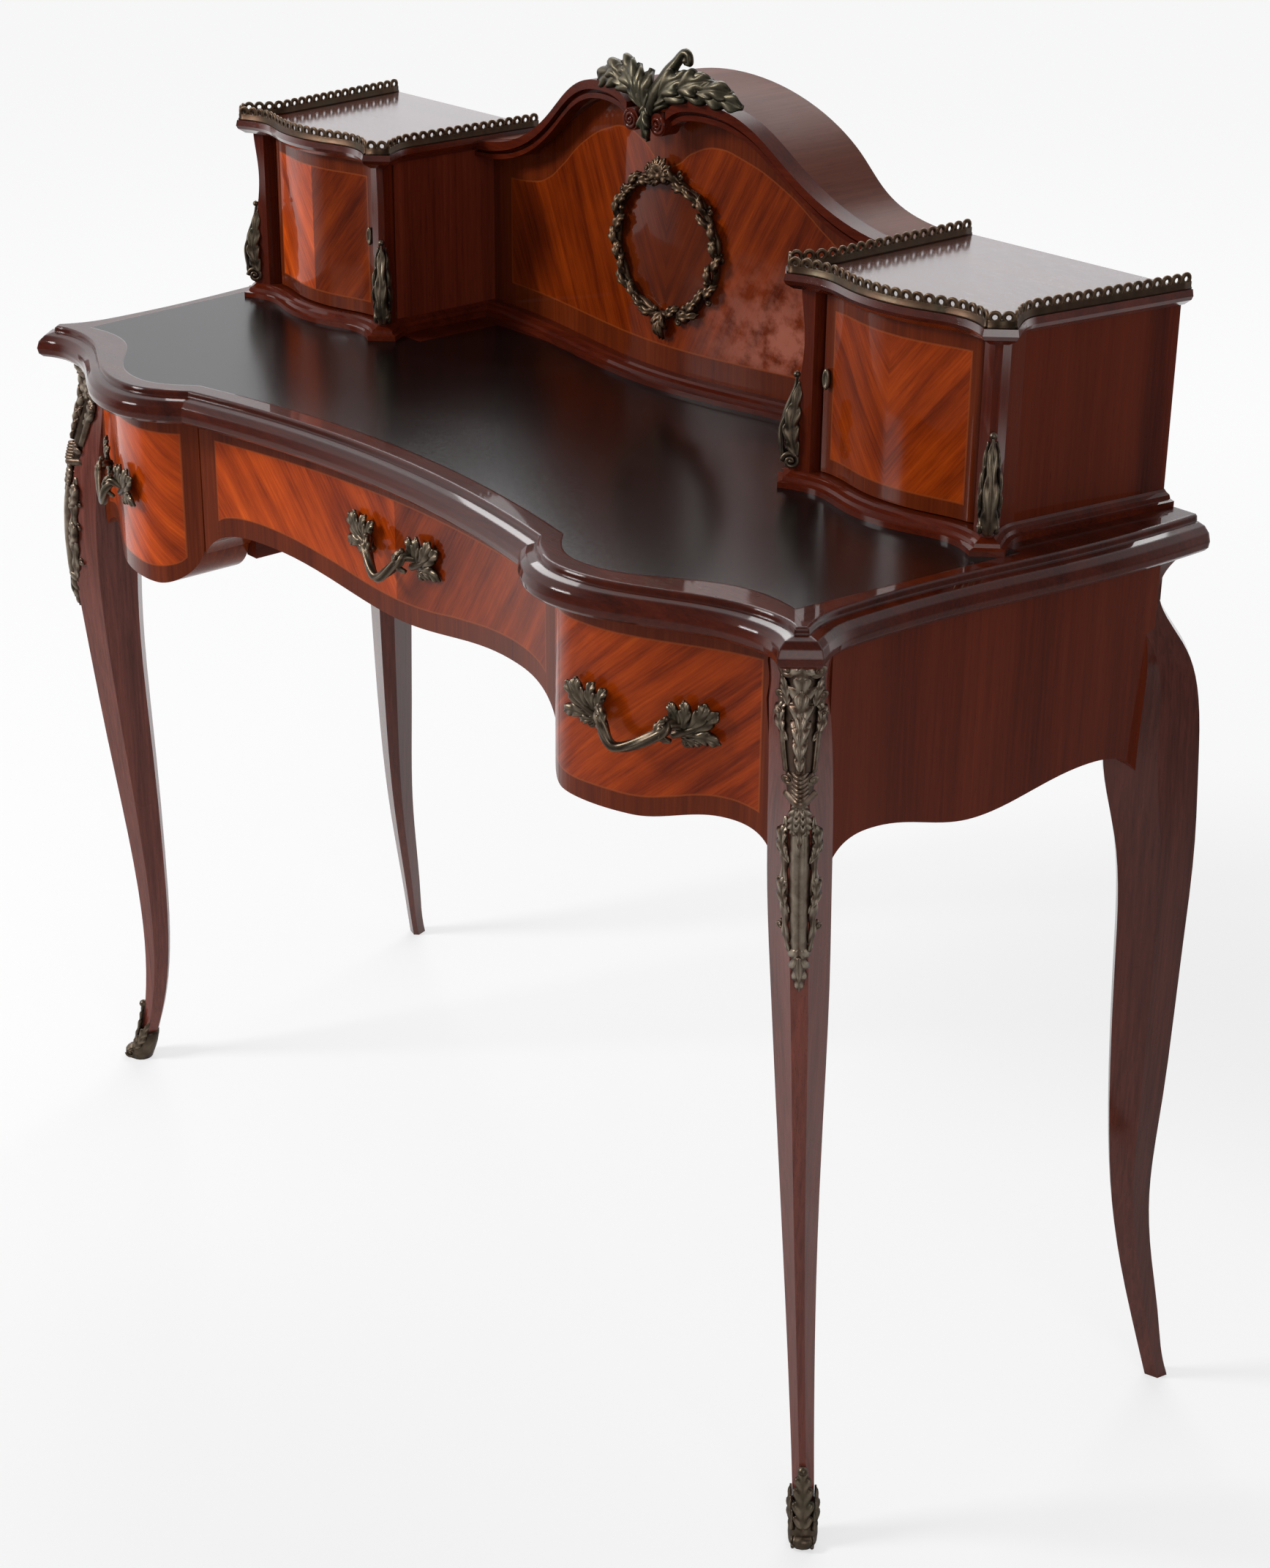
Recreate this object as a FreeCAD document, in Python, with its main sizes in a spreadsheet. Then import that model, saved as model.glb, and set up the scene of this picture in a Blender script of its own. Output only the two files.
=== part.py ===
# Lady's writing desk (bonheur du jour): serpentine table on cabriole legs with three drawers,
# two small bow-fronted cabinets with scalloped galleries and an arched back between them.
# Millimetres, +Z up, front towards -Y, origin on the floor under the middle of the bounding box.
import FreeCAD, Part
import math
import os
import re

V = FreeCAD.Vector
DIAGONAL = math.sqrt(0.5)

# Driving sizes: alias, value, what it is
SIZES = [
    ("case_height", 725, "floor to the underside of the top"),
    ("edge_thick", 20, "rounded lower part of the top's edge"),
    ("edge_rise", 5, "stepped upper part of the top's edge"),
    ("edge_step", 13, "how far the upper part stands back"),
    ("hollow_y", -180, "front edge at the middle of the hollow"),
    ("notch_x", 219, "corner between hollow and bow"),
    ("notch_y", -206, "front edge at that corner"),
    ("bow_x", 284, "crest of each side bow"),
    ("bow_y", -236, "front edge at that crest"),
    ("cove_x", 441, "bottom of the cove beside the corner"),
    ("cove_y", -185, "front edge at that cove"),
    ("ear_x", 470, "front end of the canted corner"),
    ("ear_y", -195, "front edge at the canted corner"),
    ("cant_x", 20, "canted corner, across"),
    ("cant_y", 23, "canted corner, in depth"),
    ("side_cove_x", 475, "half width at the cove of each end"),
    ("side_cove_y", -126, "place of that cove"),
    ("side_x", 504, "half width at the back"),
    ("back_y", 198, "back plane of top and cabinets"),
    ("leather_border", 31, "wooden border round the writing leather"),
    ("leather_thick", 2, "writing leather"),
    ("leather_back", 40, "back edge of the leather beside the bay"),
    ("bay_half", 225, "half width of the leather's middle bay"),
    ("bay_back", 125, "back edge of the leather's middle bay"),
    ("front_setback", 26, "drawer fronts behind the edge of the top"),
    ("apron_setback", 18, "end aprons behind the edge of the top"),
    ("apron_thick", 16, "end aprons"),
    ("apron_back_drop", 130, "height of the back apron"),
    ("apron_back_inset", 8, "back apron in from the back plane"),
    ("leg_gap", 1.5, "drawer front to leg"),
    ("fit_gap", 1, "gap round a drawer front"),
    ("front_back_y", -138, "flat inner face of the drawer fronts"),
    ("side_drop", 149, "depth of a side drawer front"),
    ("corner_round", 38, "round inner lower corner of a side drawer front"),
    ("outer_x", 429, "outer edge of a side drawer front"),
    ("tip_x", 438, "outer lower tip of a side drawer front"),
    ("middle_drop", 115, "depth of the middle drawer front"),
    ("middle_lift", 20, "rise of its lower edge beside the middle"),
    ("wall", 9, "drawer sides and back"),
    ("box_high", 108, "height of a side drawer's sides"),
    ("middle_box_high", 74, "height of the middle drawer's sides"),
    ("box_top_gap", 10, "top of the drawer sides under the top"),
    ("box_deep", 280, "length of the drawer sides"),
    ("drawer_floor", 5, "drawer bottoms"),
    ("slide_gap", 0.5, "drawer on its runners and beside its guides"),
    ("partition_thick", 14, "kneehole sides"),
    ("partition_drop", 132, "height of the kneehole sides"),
    ("apron_low", 165, "height of an end apron at its lowest"),
    ("apron_lift", 17, "rise of its lower edge towards the legs"),
    ("runner_wide", 14, "drawer runners"),
    ("runner_high", 11, "drawer runners"),
    ("box_outer_x", 398, "outer face of a side drawer's box"),
    ("plinth_high", 11, "base moulding of the upper part"),
    ("plinth_step", 6, "each step of the base moulding"),
    ("cab_in_x", 256, "front ear of a cabinet, inner"),
    ("cab_out_x", 447, "front ear of a cabinet, outer"),
    ("cab_ear_y", 7, "front ears of a cabinet's base moulding"),
    ("cab_cant", 17, "canted corners of a cabinet"),
    ("cab_bow_y", 4, "crest of a cabinet's bow"),
    ("cab_hollow", 9, "cove beside a cabinet's ears"),
    ("cab_side_cove", 15, "cove of a cabinet's sides behind its ears"),
    ("cab_cove_y", 60, "place of that cove"),
    ("cab_flare", 20, "cabinet widening towards the back, outer side"),
    ("body_inset", 10, "cabinet sides behind the base moulding's edge"),
    ("door_inset", 16, "door face behind the base moulding's edge"),
    ("door_thick", 14, "doors"),
    ("door_gap", 1.5, "gap round a door"),
    ("cab_high", 136, "cabinet between base and cornice"),
    ("cornice_thick", 12, "cornice board"),
    ("cornice_inset", 0, "cornice behind the base moulding's edge"),
    ("side_wall", 10, "cabinet sides"),
    ("cab_board", 8, "cabinet floor and back"),
    ("post_deep", 16, "corner pilasters, along the diagonal"),
    ("post_half", 9, "corner pilasters, half width across it"),
    ("post_inset", 16, "neck of a pilaster behind the base moulding's edge"),
    ("post_swell", 8, "foot of a pilaster beyond its neck"),
    ("pivot_radius", 2, "door pivots"),
    ("pivot_gap", 0.3, "clearance round a pivot"),
    ("pivot_long", 6, "pivot inside the door"),
    ("gallery_inset", 2, "gallery behind the base moulding's edge"),
    ("gallery_thick", 2.2, "gallery scallops"),
    ("gallery_foot", 3.4, "gallery's lower band"),
    ("gallery_band", 5.5, "height of that band"),
    ("loop_radius", 4.7, "radius of a scallop"),
    ("loop_pitch", 9, "spacing of the scallops"),
    ("panel_mid_y", 122, "middle panel, face at its crest"),
    ("panel_end_y", 153, "middle panel, face at its ends"),
    ("panel_thick", 12, "middle panel"),
    ("arch_high", 243, "crest of the arch above the top"),
    ("arch_low", 156, "ends of the arch above the top"),
    ("arch_shoulder_x", 140, "shoulder of the arch"),
    ("arch_shoulder", 200, "height of that shoulder above the top"),
    ("arch_thick", 10, "curved board of the arch"),
    ("crest_depth", 16, "moulding along the front of the arch"),
    ("crest_high", 15, "height of that moulding"),
    ("crest_peak_x", 58, "highest place of each half of that moulding"),
    ("crest_dip", 28, "centre of its scrolled ends below the arch"),
    ("scroll_x", 16, "place of those scrolls"),
    ("scroll_radius", 9, "scrolled ends of that moulding"),
    ("back_thick", 8, "back board of the arch"),
    ("wreath_z", 114, "centre of the wreath above the top"),
    ("wreath_wide", 60, "half width of the wreath"),
    ("wreath_tall", 56, "half height of the wreath"),
    ("wreath_band", 12, "width of the wreath's garland"),
    ("mount_thick", 6, "bronze mounts"),
    ("crest_half", 80, "half spread of the bronze on the arch"),
    ("crest_rise", 40, "that bronze above the arch"),
    ("handle_wide", 80, "handle, from leaf to leaf"),
    ("handle_reach", 24, "handle in front of the drawer"),
    ("handle_sag", 22, "handle below its leaves"),
    ("handle_bar", 4, "radius of the handle's bar"),
    ("leaf_size", 15, "leaf at each end of a handle"),
    ("middle_handle_z", 53, "leaves of the middle handle under the top"),
    ("side_handle_z", 71, "leaves of a side handle under the top"),
    ("side_handle_x", 337, "middle of a side drawer's handle"),
    ("pull_tall", 9, "half height of a door pull"),
    ("pull_wide", 3.5, "half width of a door pull"),
    ("pull_out", 5, "door pull in front of the door"),
]

# Leg sections: height as a share of the case, reach beyond the top's corner along the diagonal,
# depth along it, place across it from that corner, half width across it
FRONT_LEG = [
    (1.000, -34.2, 42, 16.5, 21),
    (0.910, -33.2, 43, 16.5, 21),
    (0.835, -18.2, 58, 18.5, 22),
    (0.772, -13.2, 61, 19.5, 22),
    (0.662, -17.2, 53, 22.5, 20.5),
    (0.483, -30.2, 42, 26.5, 16),
    (0.290, -45.2, 29, 31.5, 11.5),
    (0.166, -48.2, 23, 35.5, 9.5),
    (0.083, -43.2, 18.5, 38.5, 8.5),
    (0.000, -26.2, 19, 40.5, 8.5),
]
BACK_LEG = [
    (1.000, -14.4, 46, -9.4, 22),
    (0.897, -9.4, 52, -8.4, 23),
    (0.848, 2.6, 64, -7.4, 24),
    (0.772, 7.6, 70, -5.4, 25),
    (0.690, 10.6, 60, -4.4, 24),
    (0.552, 9.6, 50, -4.4, 21),
    (0.372, 6.6, 41, -5.4, 17),
    (0.248, 4.6, 30, -7.4, 13),
    (0.166, 11.6, 26, -10.4, 11),
    (0.083, 22.6, 22, -13.4, 9),
    (0.000, 35, 18, -16.4, 8),
]
LEG_CANT = 0.30
LEG_SHOULDER = 0.45
LEG_INNER = 0.35

doc = FreeCAD.newDocument("writing_desk")
sheet = doc.addObject("Spreadsheet::Sheet", "Sizes")
for row, (alias, value, note) in enumerate(SIZES, 1):
    sheet.set("A%d" % row, str(value))
    sheet.setAlias("A%d" % row, alias)
    sheet.set("B%d" % row, note)
doc.recompute()


class Named:
    """Sizes of the sheet as attributes."""

    def __getattr__(self, alias):
        return float(sheet.get(alias))


S = Named()
nodes = []


def keep(obj, name):
    """Marks a document object as a sub-part with its own file."""
    obj.Label = name
    nodes.append(obj)
    return obj


def shape_node(name, shape):
    """A sub-part whose form comes from lofts or free curves."""
    feature = doc.addObject("Part::Feature", "shape_" + name)
    feature.Shape = shape
    feature.Placement = FreeCAD.Placement()
    return keep(feature, name)


def bound(text):
    """Turns words of an expression into cells of the sheet."""
    return re.sub(r"[a-z]\w*", r"Sizes.\g<0>", text)


def board(name, low, size, side=1):
    """A Part::Box bound to the sheet; side -1 mirrors it to the left half."""
    box = doc.addObject("Part::Box", name)
    start = low[0] if side > 0 else "-(%s) - (%s)" % (low[0], size[0])
    for prop, text in zip(("Length", "Width", "Height"), size):
        box.setExpression(prop, bound(text))
    for axis, text in zip("xyz", (start, low[1], low[2])):
        box.setExpression("Placement.Base." + axis, bound(text))
    return box


def cut(name, base, tool):
    """A Part::Cut of two document objects."""
    result = doc.addObject("Part::Cut", name)
    result.Base = base
    result.Tool = tool
    return result


def mirrored(shape):
    return shape.mirror(V(0, 0, 0), V(1, 0, 0))


def sided(shape, side):
    return shape if side > 0 else mirrored(shape)


def unit(x, y):
    return V(x, y, 0).normalize()


def curve(points, directions):
    """A smooth edge through points; a direction of None is left free."""
    spline = Part.BSplineCurve()
    tangents = [d or V(1, 0, 0) for d in directions]
    flags = [d is not None for d in directions]
    spline.interpolate(Points=points, Tangents=tangents, TangentFlags=flags)
    return spline.toShape()


def inward(direction):
    return V(-direction.y, direction.x, 0)


def shifted(point, amount, first, second=None):
    """Moves a point of an outline inwards, square to one or two directions."""
    a = inward(first)
    b = inward(second) if second else a
    return point + (a + b) * (amount / (1 + a.dot(b)))


def line(a, b):
    return Part.makeLine(a, b)


def raised(wire, z):
    copy = wire.copy()
    copy.translate(V(0, 0, z))
    return copy


def slab(wire, low, high):
    """A flat outline made solid between two heights."""
    return Part.Face(raised(wire, low)).extrude(V(0, 0, high - low))


def standing(wire, front, back):
    """An outline drawn as (x, 0, z) made solid between two depths."""
    copy = wire.copy()
    copy.translate(V(0, front, 0))
    return Part.Face(copy).extrude(V(0, back - front, 0))


def ruled(levels, outline):
    """A moulded board: the outline at several heights with its own inset at each."""
    wires = [raised(outline(inset), z) for z, inset in levels]
    return Part.makeLoft(wires, True, True)


# Plan of the table
def table_plan(inset):
    """Corner points and edges of the table's outline, moved in by inset."""
    hollow_turn = math.atan2(S.notch_y - S.hollow_y, S.notch_x) * 2
    ahead = unit(1, 0)
    hollow_end = unit(math.cos(hollow_turn), math.sin(hollow_turn))
    bow_start = unit(0.72, -0.70)
    bow_end = unit(0.84, -0.54)
    cant = unit(S.cant_x, S.cant_y)
    side_start = unit(-0.50, 0.86)
    back = unit(0, 1)
    middle = shifted(V(0, S.hollow_y, 0), inset, ahead)
    notch = shifted(V(S.notch_x, S.notch_y, 0), inset, hollow_end, bow_start)
    bow = shifted(V(S.bow_x, S.bow_y, 0), inset, ahead)
    cove = shifted(V(S.cove_x, S.cove_y, 0), inset, ahead)
    ear = shifted(V(S.ear_x, S.ear_y, 0), inset, bow_end, cant)
    heel_point = V(S.ear_x + S.cant_x, S.ear_y + S.cant_y, 0)
    heel = shifted(heel_point, inset, cant, side_start)
    side_cove = shifted(V(S.side_cove_x, S.side_cove_y, 0), inset, back)
    corner = V(S.side_x - inset, S.back_y, 0)
    left_notch = V(-notch.x, notch.y, 0)
    hollow_back = unit(hollow_end.x, -hollow_end.y)
    plan = {
        "hollow": curve([left_notch, middle, notch], [hollow_back, ahead, hollow_end]),
        "bow": curve([notch, bow, cove, ear], [bow_start, ahead, ahead, bow_end]),
        "cant": line(ear, heel),
        "side": curve([heel, side_cove, corner], [side_start, back, back]),
        "notch": notch, "ear": ear, "heel": heel, "corner": corner, "side_cove": side_cove,
        "bow_point": bow, "cove_point": cove,
    }
    return plan


def table_outline(inset):
    plan = table_plan(inset)
    right = [plan[key] for key in ("bow", "cant", "side")]
    back = line(plan["corner"], V(-plan["corner"].x, plan["corner"].y, 0))
    edges = [plan["hollow"]] + right + [back] + [mirrored(edge) for edge in right]
    return Part.Wire(Part.__sortEdges__(edges))


def leather_outline():
    """Front and ends follow the table at the border's width; the back lies under the base moulding."""
    plan = table_plan(S.leather_border)
    ahead = unit(1, 0)
    corner = V(S.side_cove_x - S.leather_border, S.cove_y + S.leather_border, 0)
    turn = unit(0.97, -0.22)
    bow = curve([plan["notch"], plan["bow_point"], corner], [unit(0.72, -0.70), ahead, turn])
    back = V(corner.x + S.cab_flare, S.leather_back, 0)
    bay = [V(S.bay_half, S.leather_back, 0), V(S.bay_half, S.bay_back, 0)]
    right = [bow, line(corner, back), line(back, bay[0]), line(bay[0], bay[1])]
    far = line(bay[1], V(-bay[1].x, bay[1].y, 0))
    edges = [plan["hollow"], far] + right + [mirrored(edge) for edge in right]
    return Part.Wire(Part.__sortEdges__(edges))


TOP_Z = S.case_height + S.edge_thick + S.edge_rise


def desk_top():
    """Board with a rounded edge, a small step above it and a bed for the leather."""
    low = S.case_height
    round_z = low + S.edge_thick * 0.4
    swell = S.edge_thick * 0.6
    roll = [(low, 4), (low + S.edge_thick * 0.15, 1)]
    turns = [math.pi / 6 * k for k in range(4)]
    roll += [(round_z + swell * math.sin(turn), swell * (1 - math.cos(turn))) for turn in turns]
    step = low + S.edge_thick
    upper = [(step, S.edge_step), (step + S.edge_rise * 0.75, S.edge_step + 0.5), (TOP_Z, S.edge_step + 2)]
    body = ruled(roll, table_outline).fuse(ruled(upper, table_outline))
    recess = slab(leather_outline(), TOP_Z - S.leather_thick, TOP_Z + 1)
    return body.cut(recess)


# Legs
def from_corner(stations, x, y):
    """Leg sections measured from the middle of the desk, for a corner of the top at x and y."""
    reach = (x + abs(y)) * DIAGONAL
    place = (x - abs(y)) * DIAGONAL
    return [(share, out + reach, depth, along + place, half) for share, out, depth, along, half in stations]


def leg_section(z, out, depth, along, half, back, grow=0):
    """A canted leg section; the outward diagonal points to the front or the back corner."""
    outward = V(DIAGONAL, DIAGONAL if back else -DIAGONAL, 0)
    across = V(DIAGONAL, -DIAGONAL if back else DIAGONAL, 0)
    reach = [out + grow, out - depth * LEG_SHOULDER, out - depth - grow]
    spread = [half * LEG_CANT + grow / 2, half + grow, half * LEG_INNER + grow / 2]
    right = [outward * r + across * (along + w) for r, w in zip(reach, spread)]
    left = [outward * r + across * (along - w) for r, w in zip(reach, spread)]
    points = right + left[::-1]
    points = [p + V(0, 0, z) for p in points]
    return Part.makePolygon(points + points[:1])


def leg(stations, back, grow=0):
    wires = [leg_section(share * S.case_height, *rest, back, grow) for share, *rest in stations]
    return Part.makeLoft(wires, True, False)


def mount_on_leg(stations, shares, width, thick, base):
    """Bronze that wraps a leg's canted arris, from the first share of the height to the last."""
    wires = []
    for share, wide, lift in zip(shares, width, thick):
        out, depth, along, half = leg_at(stations, share)
        outward = V(DIAGONAL, -DIAGONAL, 0)
        across = V(DIAGONAL, DIAGONAL, 0)
        reach = [(out + lift, wide * 0.35), (out + lift * 0.4, wide), (out - half * 0.9, wide * 0.9)]
        right = [outward * r + across * (along + w) for r, w in reach]
        left = [outward * r + across * (along - w) for r, w in reach]
        points = [p + V(0, 0, share * S.case_height) for p in right + left[::-1]]
        wires.append(Part.makePolygon(points + points[:1]))
    return Part.makeLoft(wires, True, False).cut(base)


def leg_at(stations, share):
    """Reach, depth, place and half width of a leg at one height."""
    for high, low in zip(stations, stations[1:]):
        if low[0] <= share <= high[0]:
            part = (share - low[0]) / (high[0] - low[0])
            part_smooth = part * part * (3 - 2 * part)
            return [b + (a - b) * part_smooth for a, b in zip(high[1:], low[1:])]
    return list(stations[-1][1:])


front_stations = from_corner(FRONT_LEG, S.ear_x, S.ear_y)
back_stations = from_corner(BACK_LEG, S.side_x, S.back_y)
front_leg = leg(front_stations, False)
back_leg = leg(back_stations, True)
for side, word in ((1, "right"), (-1, "left")):
    shape_node("leg_front_" + word, sided(front_leg, side))
    shape_node("leg_back_" + word, sided(back_leg, side))
shape_node("desk_top", desk_top())
shape_node("leather_panel", slab(leather_outline(), TOP_Z - S.leather_thick, TOP_Z))
doc.recompute()


def derive(alias, value):
    """A size that follows from others, for the bound boards."""
    row = len(SIZES) + len(derived) + 1
    derived.append(alias)
    sheet.set("A%d" % row, str(value))
    sheet.setAlias("A%d" % row, alias)


derived = []
derive("seam_x", table_plan(S.front_setback)["notch"].x)
derive("floor_z", TOP_Z + S.plinth_high)
derive("side_face", S.cab_in_x - S.cab_cant + S.cab_side_cove + S.body_inset)
derive("outer_face", S.cab_out_x + S.cab_cant - S.cab_side_cove - S.body_inset)
doc.recompute()


# Aprons, kneehole sides and runners
def end_apron():
    outer = table_plan(S.apron_setback)
    inner = table_plan(S.apron_setback + S.apron_thick)
    edges = [outer["side"], line(outer["corner"], inner["corner"]),
             inner["side"], line(inner["heel"], outer["heel"])]
    block = slab(Part.Wire(Part.__sortEdges__(edges)), 0, S.case_height)
    low = S.case_height - S.apron_low
    front = S.side_cove_y - 5
    back = S.back_y - 30
    foot = low - S.apron_lift
    crown = low + S.apron_lift
    span = back - front
    lower = curve(
        [V(0, front, foot), V(0, front + span * 0.13, crown), V(0, front + span * 0.45, low),
         V(0, front + span * 0.81, crown), V(0, back, foot)],
        [V(0, 0.1, 1), V(0, 1, 0), V(0, 1, 0), V(0, 1, 0), V(0, 0.3, -1)])
    top_front = V(0, front, S.case_height)
    top_back = V(0, back, S.case_height)
    frame = [lower, line(V(0, back, foot), top_back), line(top_back, top_front),
             line(top_front, V(0, front, foot))]
    shape = Part.Face(Part.Wire(Part.__sortEdges__(frame))).extrude(V(S.side_x, 0, 0))
    return largest(block.common(shape).cut(front_leg).cut(back_leg))


def largest(shape):
    return max(shape.Solids, key=lambda solid: solid.Volume)


def innermost(shape):
    return min(shape.Solids, key=lambda solid: solid.BoundBox.XMin)


def back_apron():
    far = S.back_y - S.apron_back_inset
    half = (back_stations[0][1] + back_stations[0][3]) * DIAGONAL - S.apron_thick
    block = Part.makeBox(2 * half, S.apron_thick, S.apron_back_drop,
                         V(-half, far - S.apron_thick, S.case_height - S.apron_back_drop))
    return largest(block.cut(back_leg).cut(mirrored(back_leg)))


def runners(apron):
    """Two runners under each side drawer and two under the middle one."""
    seam = S.seam_x
    length = S.box_deep + S.wall
    side_z = S.case_height - S.box_top_gap - S.box_high - S.slide_gap - S.runner_high
    middle_z = S.case_height - S.box_top_gap - S.middle_box_high - S.slide_gap - S.runner_high
    face = seam + S.partition_thick / 2
    inner = Part.makeBox(S.runner_wide, length, S.runner_high, V(face, S.front_back_y + 2, side_z))
    rail_x = S.box_outer_x - S.runner_wide
    rail = Part.makeBox(S.side_x - rail_x, length, S.runner_high, V(rail_x, S.front_back_y + 2, side_z))
    rail = innermost(rail.cut(apron).cut(front_leg).cut(back_leg))
    middle = Part.makeBox(S.runner_wide, length, S.runner_high,
                          V(seam - S.partition_thick / 2 - S.runner_wide, S.front_back_y + 2, middle_z))
    right = [inner, rail, middle]
    return Part.makeCompound(right + [mirrored(solid) for solid in right])


apron = end_apron()
shape_node("apron_right", apron)
shape_node("apron_left", mirrored(apron))
shape_node("apron_back", back_apron())
shape_node("drawer_runners", runners(apron))
for side, word in ((1, "right"), (-1, "left")):
    keep(board("partition_" + word,
               ("seam_x - partition_thick / 2", "front_back_y + 1", "case_height - partition_drop"),
               ("partition_thick", "back_y - apron_back_inset - apron_thick - front_back_y - 1",
                "partition_drop"), side), "partition_" + word)


# Drawers
def front_block(edge, start, end):
    """A shaped drawer front: the table's curve in front, flat behind."""
    far_end = V(end.x, S.front_back_y, 0)
    far_start = V(start.x, S.front_back_y, 0)
    edges = [edge, line(end, far_end), line(far_end, far_start), line(far_start, start)]
    low = S.case_height - S.side_drop - S.corner_round
    return slab(Part.Wire(Part.__sortEdges__(edges)), low, S.case_height)


def side_front():
    plan = table_plan(S.front_setback)
    block = front_block(plan["bow"], plan["notch"], plan["ear"])
    top = S.case_height - S.fit_gap
    low = S.case_height - S.side_drop
    inner = S.seam_x + S.fit_gap / 2
    rounded = S.corner_round
    corner = V(inner + rounded, 0, low + rounded)
    bend = V(corner.x - rounded * DIAGONAL, 0, corner.z - rounded * DIAGONAL)
    foot = V(corner.x, 0, low)
    tip = V(S.tip_x - 7, 0, low - 2)
    end = V(S.tip_x, 0, low + 8)
    shoulder = V(S.outer_x, 0, low + S.side_drop * 0.55)
    edges = [
        line(V(S.outer_x, 0, top), V(inner, 0, top)),
        line(V(inner, 0, top), V(inner, 0, corner.z)),
        Part.Arc(V(inner, 0, corner.z), bend, foot).toShape(),
        curve([foot, V(S.bow_x + 50, 0, low), V(S.cove_x - 46, 0, low + 11), tip],
              [V(1, 0, 0), V(1, 0, 0), V(1, 0, 0), V(0.6, 0, -0.8)]),
        line(tip, end),
        curve([end, shoulder], [V(-0.35, 0, 1), V(0, 0, 1)]),
        line(shoulder, V(S.outer_x, 0, top)),
    ]
    face = standing(Part.Wire(Part.__sortEdges__(edges)), S.bow_y, S.front_back_y)
    return largest(block.common(face).cut(leg(front_stations, False, S.leg_gap)))


def middle_front():
    plan = table_plan(S.front_setback)
    notch = plan["notch"]
    block = front_block(plan["hollow"], V(-notch.x, notch.y, 0), notch)
    top = S.case_height - S.fit_gap
    low = S.case_height - S.middle_drop
    half = S.seam_x - S.fit_gap / 2
    swing = half * 0.77
    lower = curve(
        [V(-half, 0, low - 4), V(-swing, 0, low + S.middle_lift), V(0, 0, low),
         V(swing, 0, low + S.middle_lift), V(half, 0, low - 4)],
        [V(0.5, 0, 1), V(1, 0, 0), V(1, 0, 0), V(1, 0, 0), V(0.5, 0, -1)])
    corners = [V(half, 0, low - 4), V(half, 0, top), V(-half, 0, top), V(-half, 0, low - 4)]
    edges = [lower] + [line(a, b) for a, b in zip(corners, corners[1:])]
    return largest(block.common(standing(Part.Wire(Part.__sortEdges__(edges)), S.bow_y, S.front_back_y)))


def leaf_outline(centre, size, lobes, deep):
    """A lobed leaf seen from the front."""
    return wavy(centre, size, size, lobes, deep)


def wavy(centre, wide, tall, lobes, deep):
    """A lobed oval seen from the front, in flat facets."""
    points = []
    count = lobes * 4
    for k in range(count):
        turn = 2 * math.pi * k / count
        swell = 1 + deep * math.cos(lobes * turn)
        points.append(centre + V(wide * swell * math.cos(turn), 0, tall * swell * math.sin(turn)))
    return Part.makePolygon(points + points[:1])


def face_y(front, x, z):
    """Depth of a front's face at one place."""
    probe = line(V(x, -S.side_x, z), V(x, S.back_y, z))
    return min(vertex.Y for vertex in probe.common(front).Vertexes)


def handle(front, x, drop):
    """A fixed cast pull: a hanging bar between two leaves, drop below the top."""
    z = S.case_height - drop
    half = S.handle_wide / 2
    solids = []
    ends = []
    for way in (-1, 1):
        place = V(x + way * half, 0, z)
        y = face_y(front, place.x, place.z)
        plate = standing(leaf_outline(place, S.leaf_size, 5, 0.2), y - S.mount_thick, y + S.mount_thick)
        solids.append(plate.cut(front))
        ends.append(V(place.x - way * S.leaf_size * 0.5, y - S.mount_thick, z))
    middle = (ends[0] + ends[1]) * 0.5
    y = face_y(front, x, z)
    middle.y = y - S.handle_reach + S.handle_bar
    middle.z = z - S.handle_sag
    path = curve(ends[:1] + [middle] + ends[1:], [V(0.2, -1, -0.6), None, V(0.2, 1, 0.6)])
    shape = solids[0].fuse(solids[1]).fuse(six_sided_bar(path, S.handle_bar, 9))
    return largest(shape.cut(front))


def six_sided_bar(path, radius, stations):
    """A bar of hexagonal section along a curved edge, sunk a little into what it meets."""
    wires = []
    first, last = path.ParameterRange
    for k in range(stations):
        u = first + (last - first) * k / (stations - 1)
        ahead = path.tangentAt(u)
        side = ahead.cross(V(0, 0, 1)).normalize()
        up = side.cross(ahead)
        spot = path.valueAt(u)
        if k in (0, stations - 1):
            spot = spot + V(0, S.mount_thick * 0.6, 0)
        ring = [spot + side * (radius * math.cos(a)) + up * (radius * math.sin(a))
                for a in (math.pi / 3 * j for j in range(6))]
        wires.append(Part.makePolygon(ring + ring[:1]))
    return Part.makeLoft(wires, True, True)


def drawer_box(name, low_x, wide, high, side=1):
    """Sides and back of a drawer, and its bottom."""
    z = "case_height - box_top_gap - %s" % high
    outer = board(name + "_outer", (low_x, "front_back_y", z), (wide, "box_deep", high), side)
    inner = board(name + "_inner", ("%s + wall" % low_x, "front_back_y - wall", z),
                  ("%s - 2 * wall" % wide, "box_deep", high), side)
    keep(cut(name + "_box_cut", outer, inner), name + "_box")
    keep(board(name + "_bottom", ("%s + wall" % low_x, "front_back_y", "%s + drawer_floor" % z),
               ("%s - 2 * wall" % wide, "box_deep - wall", "drawer_floor"), side), name + "_bottom")


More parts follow.
